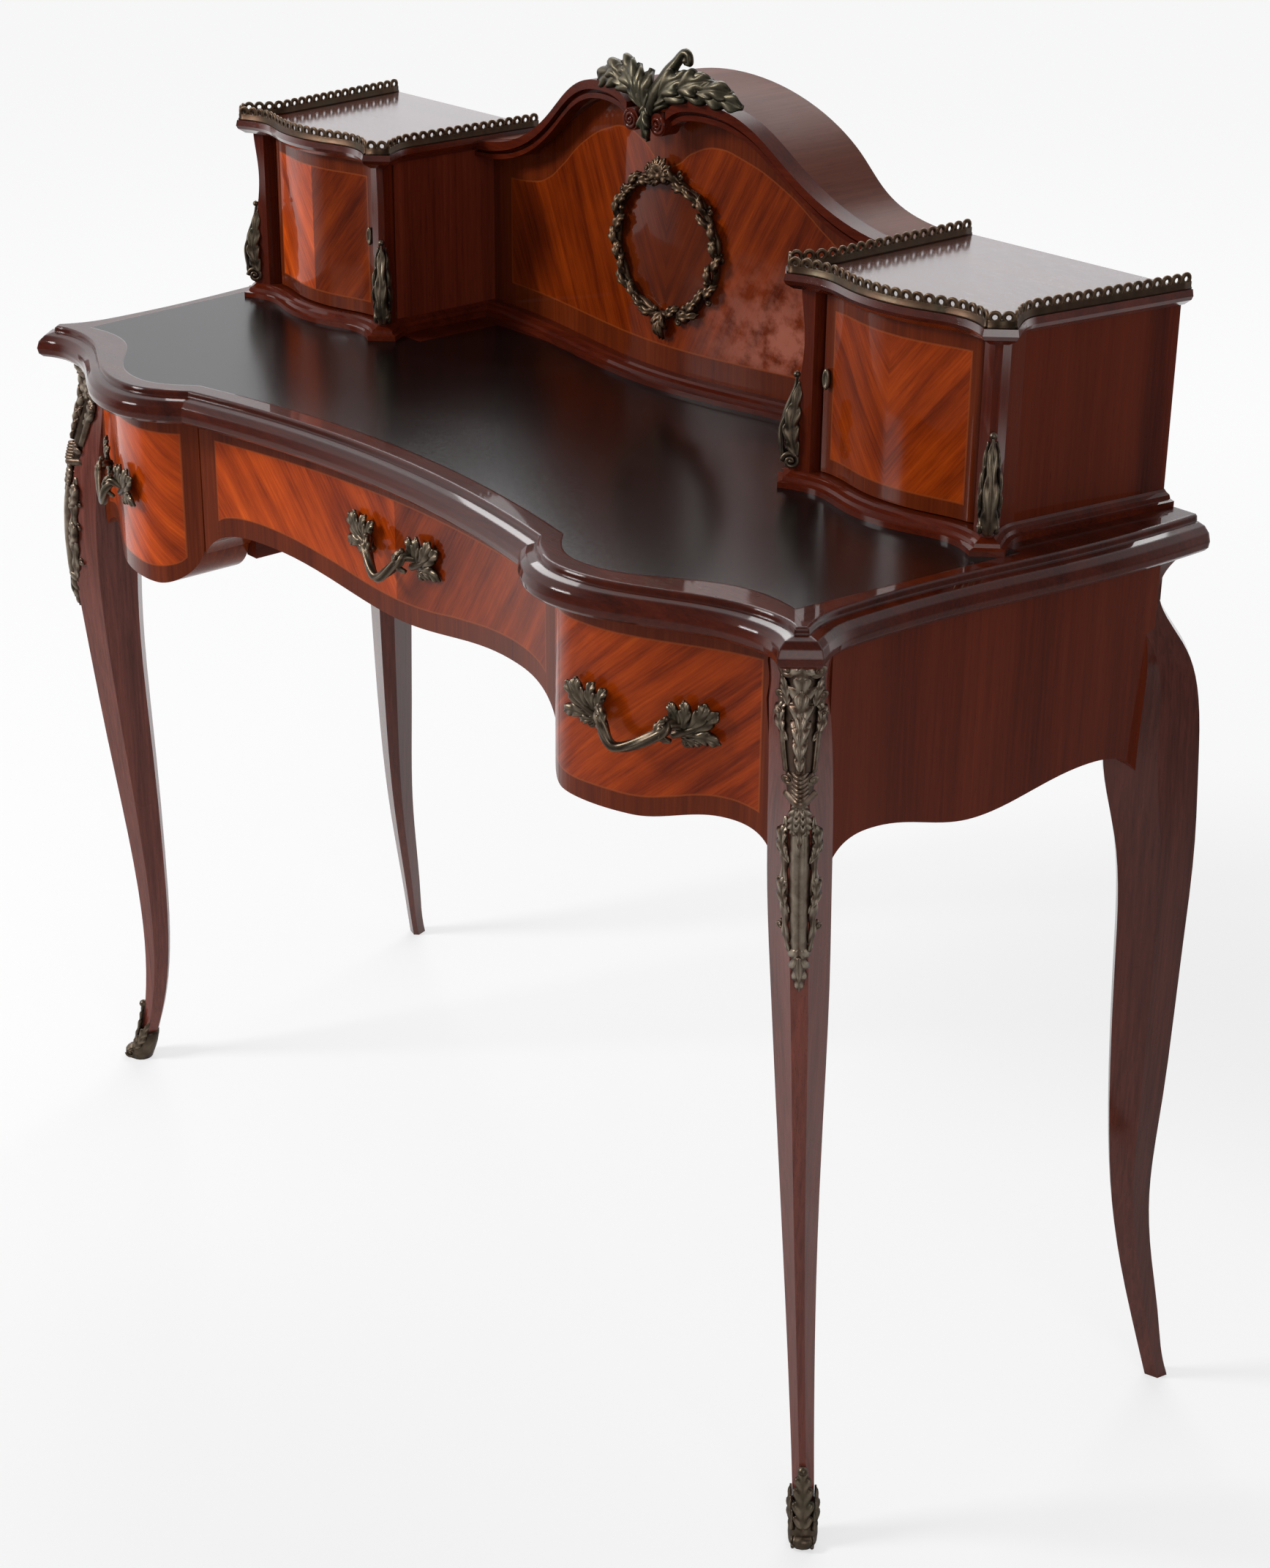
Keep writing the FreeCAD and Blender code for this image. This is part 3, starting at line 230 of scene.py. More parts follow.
def wood(name, axis, stops, seed, rough=(0.24, 0.4), glow=None, polish=POLISH, edge=0.0):
    """Polished straight-grained wood; glow adds a broad warm figure, edge rounds the corners."""
    shader = Shader(name)
    tone = streaks(shader, axis, seed)
    colour = shader.ramp(tone, stops)
    if glow:
        figure = shader.noise(grain_space(shader, axis, 0.35), 22.0, detail=2.0, twist=1.4)
        colour = shader.mix(shader.range(figure, 0.45, 0.75, 0.0, 0.8), colour, glow)
    dashes = pores(shader, axis)
    colour = shader.mix(shader.times(dashes, 0.5), colour, rgb(*MAHOGANY_DARK))
    shader.set(Base_Color=colour, Roughness=shader.wear(9.0, *rough), **polish)
    shader.bump(shader.less(tone, dashes), distance=0.00006, edge=edge)
    return shader.material


mahogany_x = wood("mahogany along x", ALONG_X, MAHOGANY, 1.0)
mahogany_y = wood("mahogany along y", ALONG_Y, MAHOGANY, 2.0)
mahogany_z = wood("mahogany along z", ALONG_Z, MAHOGANY, 3.0)
top_wood = wood("desk top", ALONG_X, TOP, 12.0, polish=EDGE, edge=EDGE_ROUND)
leg_wood = wood("leg mahogany", ALONG_Z, LEG, 4.0, polish=GLOSS)
shaded_back_leg_wood = wood("back leg mahogany with painted shade", ALONG_Z, SHADED_BACK_LEG, 7.0, polish=GLOSS)
cornice_wood = wood("cabinet tops", ALONG_X, MAHOGANY, 9.0, rough=(0.1, 0.2), polish=MIRROR)
moulding_wood = wood("arch moulding", ALONG_X, MAHOGANY, 10.0, polish=SATIN)
bay_wood = wood("bay sides", ALONG_Z, BAY, 11.0)
arch_wood = wood("worn arch top", ALONG_Y, ARCH, 8.0, rough=(0.5, 0.65), polish=WORN)
end_wood = wood("figured end", ALONG_Z, MAHOGANY, 5.0, glow=GLOW)
oak = wood("carcass oak", ALONG_Y, OAK, 6.0, rough=(0.5, 0.65))

VENEER = [(0.0, rgb(0.085, 0.0095, 0.0014)), (0.3, rgb(0.2, 0.023, 0.002)),
          (0.65, rgb(0.37, 0.048, 0.003)), (1.0, rgb(0.56, 0.086, 0.0065))]
BORDER = tones((0.062, 0.008, 0.0022), (0.12, 0.018, 0.0035), (0.19, 0.032, 0.006), 0.55)
STRINGING = rgb(0.3, 0.062, 0.012)
STRING_WIDE = 0.0011
STRING_SHARE = 0.5
LINE_BLUR = 0.0003
BORDER_BLUR = 0.0002
WREATH_SHADE = rgb(0.03, 0.006, 0.002)
WREATH_SHADE_SHARE = 0.55
WREATH_GROUND = (0.058, 0.054)
WREATH_HEIGHT = 0.864
# Colour and share of a painted reflection low on the right of the middle panel
PAINTED_REFLECTION = rgb(0.58, 0.19, 0.125)
PAINTED_REFLECTION_SHARE = 0.68


def matched_veneer(shader, across, height, lean, seed):
    """Striped leaves matched at a seam: across is the distance from it, lean the stripes' slope."""
    sine, cosine = math.sin(lean), math.cos(lean)
    over = shader.weighted((height, cosine), (across, -sine))
    along = shader.weighted((height, sine), (across, cosine))
    space = shader.join(over, shader.times(along, 0.05), seed)
    broad = shader.noise(space, 80.0, rough=0.6, twist=0.35)
    fine = shader.noise(space, 700.0, rough=0.6)
    cloud = shader.noise(shader.join(across, height, seed), 14.0)
    return shader.range(shader.weighted((broad, 0.46), (fine, 0.27), (cloud, 0.27)), 0.31, 0.69)


def inside_wreath(shader, x, z):
    """One inside the wreath on the middle panel and nothing outside it."""
    wide = shader.calc("DIVIDE", x, WREATH_GROUND[0])
    tall = shader.calc("DIVIDE", shader.less(z, WREATH_HEIGHT), WREATH_GROUND[1])
    return shader.range(shader.weighted((wide, wide), (tall, tall)), 0.9, 1.05, 1.0, 0.0)


def painted_reflection_patch(shader, x, z):
    """Mottled painted reflection on the polish, low on the right of the middle panel."""
    spots = shader.range(shader.noise(shader.place(), 60.0, detail=5.0, rough=0.62), 0.37, 0.57)
    low = shader.times(shader.range(z, 0.815, 0.875, 1.0, 0.0), shader.range(z, 0.765, 0.79))
    return shader.times(low, shader.range(x, 0.03, 0.12), spots)


def panel_ground_and_painted_reflection(shader, field, x, z):
    """The middle panel's darker ground inside the wreath, and a painted reflection on its polish."""
    ground = shader.mix(WREATH_SHADE_SHARE, field, WREATH_SHADE)
    field = shader.mix(inside_wreath(shader, x, z), field, ground)
    return shader.mix(shader.times(painted_reflection_patch(shader, x, z), PAINTED_REFLECTION_SHARE), field, PAINTED_REFLECTION)


def veneer(name, seam, lean, edge_distance, width, seed, painted_light, fold=False, marks=None):
    """A matched field inside a crossbanded border with a thin light line between them.

    edge_distance gives the distance to the nearest edge from a shader and its coordinates, painted_light
    how much the leaves on both sides of the seam are painted lighter or darker for the light falling on
    them. fold mirrors the pattern for a piece on the left.
    """
    shader = Shader(name)
    x, _, z = shader.split(shader.place())
    if fold:
        x = shader.calc("ABSOLUTE", x)
    from_seam = shader.less(x, seam)
    tone = matched_veneer(shader, shader.calc("ABSOLUTE", from_seam), z, lean, seed)
    # Painted light: each leaf's colour is scaled by its painted_light factor, lighter or darker on each side
    # of the seam as the light falls
    half = shader.range(from_seam, -LINE_BLUR, LINE_BLUR, *painted_light)
    field = shader.mix(1.0, shader.ramp(tone, VENEER), shader.join(half, half, half), "MULTIPLY")
    if marks:
        field = marks(shader, field, x, z)
    edge = edge_distance(shader, x, z)
    border = shader.ramp(streaks(shader, ALONG_Z, seed), BORDER)
    colour = shader.mix(shader.range(edge, width - BORDER_BLUR, width + BORDER_BLUR), border, field)
    off_line = shader.calc("ABSOLUTE", shader.less(edge, width))
    line = shader.range(off_line, STRING_WIDE / 2, STRING_WIDE / 2 + LINE_BLUR, STRING_SHARE, 0.0)
    colour = shader.mix(line, colour, STRINGING)
    shader.set(Base_Color=colour, Roughness=shader.wear(11.0, 0.24, 0.38), **POLISH)
    shader.bump(tone, distance=0.00005)
    return shader.material


def drawn_edge(shader, x, low, high, points):
    """Height over x of a curved edge through points in millimetres, which lie between two heights."""
    first, last = points[0][0], points[-1][0]
    drawn = [((px - first) / (last - first), (pz - low) / (high - low)) for px, pz in points]
    line = shader.curve(shader.range(x, first * MM, last * MM), drawn)
    return shader.range(line, 0.0, 1.0, low * MM, high * MM)


# Limits of the veneered pieces in metres, their curved edges in millimetres
FRONT_TOP = 0.724
SIDE_FRONT = (0.229, 0.437)
SIDE_EDGE = [(232, 606), (236, 598), (242, 589), (256, 579), (272, 576), (310, 576), (340, 576.3),
             (360, 580.3), (380, 585.5), (395, 587), (410, 585.8), (436, 577)]
MIDDLE_HALF = 0.231
MIDDLE_EDGE = [(0, 610), (30, 611.6), (90, 621), (150, 629), (180, 630), (200, 628), (215, 622.5),
               (231.5, 606)]
PANEL_HALF = 0.262
PANEL_FOOT = 0.757
ARCH_EDGE = [(0, 950), (12, 954), (30, 966), (55, 973), (80, 968), (120, 950), (160, 921), (180, 908),
             (200, 901), (264, 897)]
DOOR_WIDTH = (0.2725, 0.429)
DOOR_HEIGHT = (0.7615, 0.8955)


def side_front_edge(shader, x, z):
    low = drawn_edge(shader, x, 570, 620, SIDE_EDGE)
    return shader.nearest(shader.within(z, low, FRONT_TOP), shader.within(x, *SIDE_FRONT))


def middle_front_edge(shader, x, z):
    reach = shader.calc("ABSOLUTE", x)
    low = drawn_edge(shader, reach, 600, 640, MIDDLE_EDGE)
    return shader.nearest(shader.within(z, low, FRONT_TOP), shader.less(MIDDLE_HALF, reach))


def panel_edge(shader, x, z):
    reach = shader.calc("ABSOLUTE", x)
    top = drawn_edge(shader, reach, 890, 980, ARCH_EDGE)
    return shader.nearest(shader.within(z, PANEL_FOOT, top), shader.less(PANEL_HALF, reach))


def door_edge(shader, x, z):
    return shader.nearest(shader.within(x, *DOOR_WIDTH), shader.within(z, *DOOR_HEIGHT))


SIDE_VENEER = {"seam": 0.225, "lean": 0.75, "edge_distance": side_front_edge, "width": 0.015, "fold": True}
DOOR_VENEER = {"seam": 0.351, "lean": 0.9, "edge_distance": door_edge, "width": 0.0125, "fold": True}
# The painted_light pairs paint the left drawer, the middle drawer's left half and the left door's outer half
# lighter, and the other leaves darker, for the key light from the front left and a highlight on the left door
drawer_right = veneer("right drawer veneer", seed=1.3, painted_light=(0.9, 0.9), **SIDE_VENEER)
drawer_left = veneer("left drawer veneer", seed=2.6, painted_light=(1.25, 1.25), **SIDE_VENEER)
drawer_middle = veneer("middle drawer veneer", 0.0, 0.95, middle_front_edge, 0.0165, 4.1, (1.15, 0.62))
panel_veneer = veneer("panel veneer", 0.0, 1.1, panel_edge, 0.024, 7.7, (0.6, 0.58), marks=panel_ground_and_painted_reflection)
door_right = veneer("right door veneer", seed=9.2, painted_light=(0.78, 0.83), **DOOR_VENEER)
door_left = veneer("left door veneer", seed=5.4, painted_light=(0.53, 1.5), **DOOR_VENEER)

HIDE = rgb(0.004, 0.003, 0.0027)
HIDE_RUBBED = rgb(0.01, 0.008, 0.0074)
HIDE_SCRATCH = rgb(0.05, 0.05, 0.048)


def leather():
    """Black hide with a fine pebbled grain, rubbed grey in patches and lightly scratched."""
    shader = Shader("black leather")
    place = shader.place()
    pebble = shader.node("TexVoronoi", {"Vector": place, "Scale": 900.0}, feature="DISTANCE_TO_EDGE")
    crease = shader.noise(place, 260.0, detail=5.0, rough=0.65)
    scuff = shader.noise(place, 7.0, detail=6.0, rough=0.66, twist=0.4)
    scratch = shader.noise(shader.vector("MULTIPLY", place, (1.0, 0.06, 1.0)), 300.0, detail=2.0)
    marks = shader.times(shader.range(scratch, 0.66, 0.76), shader.range(scuff, 0.5, 0.6))
    colour = shader.mix(shader.range(scuff, 0.46, 0.74), HIDE, HIDE_RUBBED)
    colour = shader.mix(shader.times(marks, 0.5), colour, HIDE_SCRATCH)
    rough = shader.range(crease, 0.3, 0.7, 0.19, 0.25)
    shader.set(Base_Color=colour, Roughness=rough, Specular_IOR_Level=0.38)
    shader.bump(shader.range(pebble, 0.0, 0.3), distance=0.00002, strength=0.2)
    return shader.material


VERDIGRIS = rgb(0.055, 0.062, 0.04)


def bronze(name, rough, *colours):
    """Aged cast bronze: dark in the hollows, rubbed bright where the relief stands high."""
    shader = Shader(name)
    relief = shader.node("Attribute", pick="Fac", attribute_name="relief")
    place = shader.place()
    blotch = shader.noise(place, 130.0, detail=4.0, rough=0.62, twist=0.5)
    green = shader.range(shader.noise(place, 42.0), 0.52, 0.7, 0.0, 0.4)
    pits = shader.noise(place, 1100.0, rough=0.6)
    tone = shader.range(shader.weighted((relief, 0.66), (blotch, 0.42)), 0.16, 0.94)
    colour = shader.mix(green, shader.ramp(tone, tones(*colours, at=0.45)), VERDIGRIS)
    shader.set(Base_Color=colour, Metallic=0.85, Roughness=shader.range(blotch, 0.3, 0.7, *rough))
    shader.bump(pits, distance=0.00015)
    return shader.material


dark_bronze = bronze("aged bronze", (0.28, 0.46), (0.02, 0.013, 0.009), (0.105, 0.075, 0.051),
                     (0.33, 0.26, 0.18))
brown_bronze = bronze("brown bronze", (0.32, 0.5), (0.02, 0.01, 0.006), (0.088, 0.05, 0.029),
                      (0.25, 0.16, 0.095))
bright_bronze = bronze("rubbed bronze", (0.3, 0.46), (0.018, 0.01, 0.006), (0.135, 0.085, 0.058),
                       (0.62, 0.52, 0.4))
green_bronze = bronze("green bronze", (0.34, 0.52), (0.016, 0.014, 0.009), (0.068, 0.057, 0.037),
                      (0.2, 0.168, 0.112))

# Finishes of the CAD pieces that show; {} stands for the side. Castings further down replace the bronzes
DRESS = [
    (top_wood, "desk_top"),
    (leather(), "leather_panel"),
    (end_wood, "apron_{}", "cabinet_{}_outer_side"),
    (mahogany_x, "apron_back", "plinth", "middle_back", "cabinet_{}_back"),
    (mahogany_y, "partition_{}"),
    (mahogany_z, "cabinet_{}_pilasters"),
    (leg_wood, "leg_front_{}"),
    (shaded_back_leg_wood, "leg_back_{}"),
    (cornice_wood, "cabinet_{}_cornice"),
    (bay_wood, "cabinet_{}_inner_side"),
    (bright_bronze, "cabinet_{}_pivots"),
    (arch_wood, "arch_board"),
    (moulding_wood, "crest_moulding"),
    (panel_veneer, "middle_panel"),
    (door_right, "cabinet_right_door"),
    (door_left, "cabinet_left_door"),
    (drawer_right, "drawer_right_front"),
    (drawer_left, "drawer_left_front"),
    (drawer_middle, "drawer_middle_front"),
    (oak, "drawer_runners", "drawer_{}_box", "drawer_{}_bottom", "drawer_middle_box", "drawer_middle_bottom"),
]
for finish, *names in DRESS:
    for side in SIDES:
        for name in names:
            surfaces = nodes[name.format(side)].data.materials
            surfaces.clear()
            surfaces.append(finish)


# Castings, drawn in millimetres
UP = Vector((0, 0, 1))
FRONT = Vector((0, -1, 0))
FULL_TURN = 2 * math.pi

# Shape of a leaf, as shares of its half width, its height or its full relief
LOBE_ROUND = 0.7
LOBE_FORWARD = 0.45
VEIN_SLANT = 0.4
VEIN_START = 1.6
VEIN_HIGH = 0.2
GROOVE_WIDE = 0.16
GROOVE_DEEP = 0.28
CROWN_LEAST = 0.35
BACK_WIDE = 0.9
BACK_DEEP = 0.2
BACK_RELIEF = 0.1

# A ball's levels with their radii, and a scroll's coil, as shares of the radius
BALL = ((-1, 0.05), (-0.5, 0.82), (0, 1.0), (0.5, 0.82), (1, 0.05))
SCROLL_STOPS = 14
SCROLL_CLOSE = 0.82
SCROLL_RISE = 0.8
SCROLL_RADII = (1.0, 1.0, 0.9, 0.7, 0.6)


def segment(share, count):
    """The evenly spaced stop before a share of the way, and the part on to the next."""
    spot = share * (count - 1)
    index = min(int(spot), count - 2)
    return index, spot - index


def spread(values, share):
    """A value between evenly spaced ones, eased from each to the next."""
    index, part = segment(share, len(values))
    part = part * part * (3 - 2 * part)
    return values[index] + (values[index + 1] - values[index]) * part


def smooth_path(points, count):
    """Evenly counted places on a smooth curve through the points."""
    knots = [Vector(p) for p in points]
    knots = [knots[0] * 2 - knots[1]] + knots + [knots[-1] * 2 - knots[-2]]
    path = []
    for k in range(count):
        index, t = segment(k / (count - 1), len(points))
        a, b, c, d = knots[index:index + 4]
        path.append(0.5 * (b * 2 + (c - a) * t + (a * 2 - b * 5 + c * 4 - d) * t * t
                           + (b * 3 - a - c * 3 + d) * t * t * t))
    return path


def headings(path):
    """Direction of a path at each of its places."""
    ends = [path[0] * 2 - path[1]] + path + [path[-1] * 2 - path[-2]]
    return [(ends[k + 2] - ends[k]).normalized() for k in range(len(path))]


def turns(count):
    """Evenly spaced angles round a circle."""
    return [FULL_TURN * k / count for k in range(count)]


class Cast:
    """Gathers the skins of one casting, with how high each point stands in the relief."""

    def __init__(self):
        self.points = []
        self.relief = []
        self.faces = []

    def skin(self, rows, joined=False):
        """Quads over closed rows of points with their relief; joined closes the last row on the first."""
        start = len(self.points)
        wide = len(rows[0])
        for row in rows:
            for point, height in row:
                self.points.append(point)
                self.relief.append(height)
        for r in range(len(rows) if joined else len(rows) - 1):
            near = start + r * wide
            far = start + (r + 1) % len(rows) * wide
            for c in range(wide):
                d = (c + 1) % wide
                self.faces.append((near + c, near + d, far + d, far + c))
        if not joined:
            self.faces.append(tuple(range(start + wide - 1, start - 1, -1)))
            last = start + (len(rows) - 1) * wide
            self.faces.append(tuple(range(last, last + wide)))

    def leaf(self, spine, facing, widths, height, lobes=0, cut=0.0, curl=0.0, steps=26, half=5):
        """A leaf along a spine: crowned, veined and grooved, with a plain back.

        widths are half widths along the spine, cut is how deep the lobes are, curl how far their
        tips turn up, and half the number of points on each side of the middle.
        """
        path = smooth_path(spine, steps)
        widest = max(widths)
        rows = []
        for k, (centre, ahead) in enumerate(zip(path, headings(path))):
            share = k / (steps - 1)
            side = ahead.cross(facing).normalized()
            up = side.cross(ahead)
            wide = spread(widths, share)
            wave = abs(math.sin(math.pi * share * lobes)) if lobes else 1.0
            reach = wide * (1 - cut * (1 - wave ** LOBE_ROUND))
            crown = height * (CROWN_LEAST + (1 - CROWN_LEAST) * wide / widest)
            row = []
            for c in range(-half, half + 1):
                v = c / half
                off = abs(v)
                vein = math.cos(FULL_TURN * (share * lobes - VEIN_SLANT * off)) * min(1.0, off * VEIN_START)
                groove = math.exp(-(v / GROOVE_WIDE) ** 2)
                level = math.sqrt(max(0.0, 1 - v * v)) + VEIN_HIGH * vein - GROOVE_DEEP * groove
                lift = crown * level + curl * off ** 3 * wave
                forward = ahead * (off * wide * LOBE_FORWARD * wave)
                relief = min(1.0, max(0.0, 0.15 + 0.55 * level + 0.25 * vein))
                row.append((centre + side * (v * reach) + forward + up * lift, relief))
            for c in range(half - 1, -half, -1):
                aside = c / half * reach * BACK_WIDE
                row.append((centre + side * aside - up * (height * BACK_DEEP), BACK_RELIEF))
            rows.append(row)
        self.skin(rows)

    def tube(self, spine, radii, steps=24, sides=12, ribs=0, twist=0.0, depth=0.0):
        """A round bar along a spine, plain or with twisted ribs."""
        path = smooth_path(spine, steps)
        rows = []
        side = None
        for k, (centre, ahead) in enumerate(zip(path, headings(path))):
            share = k / (steps - 1)
            side = ahead.orthogonal() if side is None else side - ahead * side.dot(ahead)
            side.normalize()
            up = ahead.cross(side)
            radius = spread(radii, share)
            row = []
            for turn in turns(sides):
                wave = math.cos(ribs * turn + twist * share) if ribs else 0.0
                outward = side * math.cos(turn) + up * math.sin(turn)
                row.append((centre + outward * radius * (1 + depth * wave), 0.5 + 0.4 * wave))
            rows.append(row)
        self.skin(rows)

    def ball(self, centre, radius):
        spine = [Vector(centre) + UP * (radius * level) for level, _ in BALL]
        self.tube(spine, [radius * share for _, share in BALL], steps=11)

    def volute(self, centre, across, start, radius, thick, winds=1.4, way=1):
        """A scrolled end: a bar winding inwards in the plane square to across, with a ball in its eye."""
        centre = Vector(centre)
        across = Vector(across).normalized()
        first = Vector(start)
        first = (first - across * first.dot(across)).normalized()
        second = across.cross(first) * way
        spine = []
        for k in range(SCROLL_STOPS):
            share = k / (SCROLL_STOPS - 1)
            turn = FULL_TURN * winds * share
            reach = radius * (1 - SCROLL_CLOSE * share)
            spine.append(centre + (first * math.cos(turn) + second * math.sin(turn)) * reach
                         + across * (thick * SCROLL_RISE * share))
        self.tube(spine, [thick * share for share in SCROLL_RADII], steps=40, sides=10)
        self.ball(centre + across * (thick * 0.6), thick * 1.1)

    def mirror_x(self):
        """The same casting on the other hand."""
        other = Cast()
        other.points = [Vector((-p.x, p.y, p.z)) for p in self.points]
        other.relief = list(self.relief)
        other.faces = [face[::-1] for face in self.faces]
        return other

    def make(self, name, body, finish, *replaced, slot="bronze"):
        """The piece itself, riding on a body."""
        mesh = bpy.data.meshes.new(name)
        mesh.from_pydata([tuple(p * MM) for p in self.points], [], self.faces)
        mesh.attributes.new("relief", "FLOAT", "POINT").data.foreach_set("value", self.relief)
        mesh.shade_smooth()
        mesh.materials.append(finish)
        made = bpy.data.objects.new(name, mesh)
        bpy.context.scene.collection.objects.link(made)
        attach(made, body)
        if replaced:
            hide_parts(*replaced)


def make_pairs(*castings, slot="bronze"):
    """Castings of the right side and the same ones on the left; {} in a name stands for the side."""
    for side in SIDES:
        for cast, finish, *names in castings:
            hand = cast.mirror_x() if side == "left" else cast
            piece, body, *replaced = (name.format(side) for name in names)
            hand.make(piece, body, finish, *replaced, slot=slot)


GALLERY_BASE = 909
GALLERY_HIGH = 5.5
GALLERY_STEPS = 60
LOOP_OUTER = 4.7
LOOP_HOLE = 1.8
LOOP_PITCH = 9.1
LOOP_RISE = 0.4
GALLERY_RUNS = [
    [(257.7, 198), (257.7, 145), (257.7, 92), (257.7, 70.8), (257.6, 56.6), (255.5, 46.3), (251.8, 38.2),
     (247.8, 31.4), (243.6, 24.6)],
    [(243.6, 24.6), (256.5, 11.7)],
    [(256.5, 11.7), (269.3, 17.3), (283, 19.7), (296.9, 18.5), (310.4, 14.7), (323.8, 10.9), (337.6, 8.5),
     (351.5, 7.7), (365.5, 8.4), (379.2, 10.8), (392.7, 14.5), (406.1, 18.4), (420, 19.7), (433.7, 17.4),
     (446.5, 11.7)],
    [(446.5, 11.7), (459.4, 24.6)],
    [(459.4, 24.6), (455.1, 31.4), (450.9, 38.3), (447, 46.3), (445, 56.7), (446.9, 70.9), (449.9, 92.1),
     (457.6, 145), (465.3, 198)],
]
# Section of the band: across and up; section of a loop: across and the share from its hole to its rim
BAND_PROFILE = [(-1.8, 0), (1.8, 0), (1.8, 1.2), (1.2, 1.7), (1.2, 4.9), (0.8, 5.6), (-0.8, 5.6), (-1.2, 4.9),
                (-1.2, 1.7), (-1.8, 1.2)]
LOOP_PROFILE = [(-1.1, 0.25), (-0.6, 0), (0.6, 0), (1.1, 0.25), (1.1, 0.75), (0.6, 1), (-0.6, 1),
                (-1.1, 0.75)]


def gallery_loop(cast, foot, ahead):
    """One pierced ring standing on the gallery's band."""
    across = ahead.cross(UP)
    centre = foot + UP * (GALLERY_HIGH + LOOP_OUTER * LOOP_RISE)
    rows = []
    for turn in turns(16):
        outward = ahead * math.cos(turn) + UP * math.sin(turn)
        rows.append([(centre + outward * (LOOP_HOLE + (LOOP_OUTER - LOOP_HOLE) * share) + across * a,
                      0.3 + 0.4 * share) for a, share in LOOP_PROFILE])
    cast.skin(rows, joined=True)


def gallery():
    """Bronze gallery of the right cabinet: a moulded band with evenly spaced loops on it."""
    cast = Cast()
    for run in GALLERY_RUNS:
        path = [Vector((x, y, GALLERY_BASE)) for x, y in run]
        if len(path) > 2:
            path = smooth_path(path, GALLERY_STEPS)
        rows = []
        for spot, ahead in zip(path, headings(path)):
            across = ahead.cross(UP)
            rows.append([(spot + across * a + UP * z, 0.25 + 0.02 * z) for a, z in BAND_PROFILE])
        cast.skin(rows)
        total = sum((b - a).length for a, b in zip(path, path[1:]))
        count = max(1, round(total / LOOP_PITCH))
        goals = [total * (k + 0.5) / count for k in range(count)]
        walked = 0.0
        for a, b in zip(path, path[1:]):
            length = (b - a).length
            while goals and goals[0] <= walked + length:
                share = (goals.pop(0) - walked) / length
                gallery_loop(cast, a + (b - a) * share, (b - a).normalized())
            walked += length
    return cast


# Lobes of a handle's leaf: outwards along the front, upwards and off it; then their half widths
HANDLE_LOBES = [
    ([(1, -9, 2), (1, 1, 5), (-2, 9, 6), (-5, 14, 4.5)], [2.5, 4.5, 4.8, 1.6]),
    ([(3, -8, 3), (6, 3, 6), (7, 11, 6.5), (5, 17, 5)], [2.5, 5, 5, 1.2]),
    ([(4, -8, 3), (13, 1, 6), (19, 10, 6), (21, 17, 5)], [2.5, 5.6, 6.2, 1.8]),
    ([(5, -8, 3), (16, -1, 5.5), (24, 6, 5), (30, 12, 4.5)], [2.5, 5.6, 6.2, 1.8]),
    ([(5, -10, 3), (16, -8, 5.5), (24, -8, 5), (32, -12, 4)], [2.5, 5.2, 5.8, 1.2]),
    ([(4, -11, 2.5), (12, -12, 5), (18, -14, 3.5)], [2.2, 3.8, 1]),
]
HANDLE_CURL = [(-2, -12, 10), (-9, -8, 14), (-9, -1, 14.5), (-5, 4, 12)]
HANDLE_RIB = [(-3, -10, 4), (8, -5, 6.5), (18, 0, 6.5), (25, 3, 5)]
BAIL_END = [(3, -3, 4), (-4, 0, 10), (-8.5, -6, 14.5)]
BAIL_RADII = [2.8, 3.8, 4.1, 3.5, 4.1, 3.8, 2.8]
BAIL_OFF = 20.5
BAIL_DROP = 21.5

# Middle and height of a handle; then place, depth and slope of the front at its two roots
SIDE_HANDLE = (337, 654, [(313.5, -206.5, 0.2), (366, -184.5, 0.53)])
MIDDLE_HANDLE = (2.5, 672, [(-25.2, -154.4, -0.035), (30.2, -154.5, 0.035)])


def drawer_handle(x, height, roots):
    """Two acanthus leaves with a twisted bail hanging between them."""
    cast = Cast()
    ends = []
    for way, (spot, depth, slope) in zip((-1, 1), roots):
        across = Vector((1, slope, 0)).normalized()
        outward = across.cross(UP)
        along = across * way
        root = Vector((spot, depth, height))

        def at(*stops):
            return [root + along * out + UP * up + outward * off for out, up, off in stops]

        for stops, widths in HANDLE_LOBES:
            cast.leaf(at(*stops), outward, widths, 3, lobes=3, cut=0.3, curl=1.2)
        cast.tube(at(*HANDLE_RIB), [3, 2.4, 1.6, 0.8], sides=10)
        cast.volute(*at((8, -14, 4)), outward, UP, 3.4, 1.4, 1.3, way)
        cast.leaf(at(*HANDLE_CURL), outward - along * 0.6, [2.2, 4.2, 4, 1.2], 3, lobes=4, cut=0.3, curl=1,
                  steps=24)
        cast.ball(*at((-5, 4.5, 12)), 2.6)
        ends.append(at(*BAIL_END))
    low = Vector((x, (roots[0][1] + roots[1][1]) / 2 - BAIL_OFF, height - BAIL_DROP))
    bail = ends[0] + [low] + ends[1][::-1]
    cast.tube(bail, BAIL_RADII, steps=72, sides=20, ribs=5, twist=30.0, depth=0.13)
    return cast


make_pairs((drawer_handle(*SIDE_HANDLE), dark_bronze, "drawer_{}_pull", "drawer_{}", "drawer_{}_handle"))
drawer_handle(*MIDDLE_HANDLE).make("drawer_middle_pull", "drawer_middle", dark_bronze, "drawer_middle_handle")
make_pairs((gallery(), brown_bronze, "gallery_{}", "desk", "cabinet_{}_gallery"))

# Outward from the right front corner, and across that
OUT = Vector((1, -1, 0)).normalized()
ACROSS = Vector((1, 1, 0)).normalized()

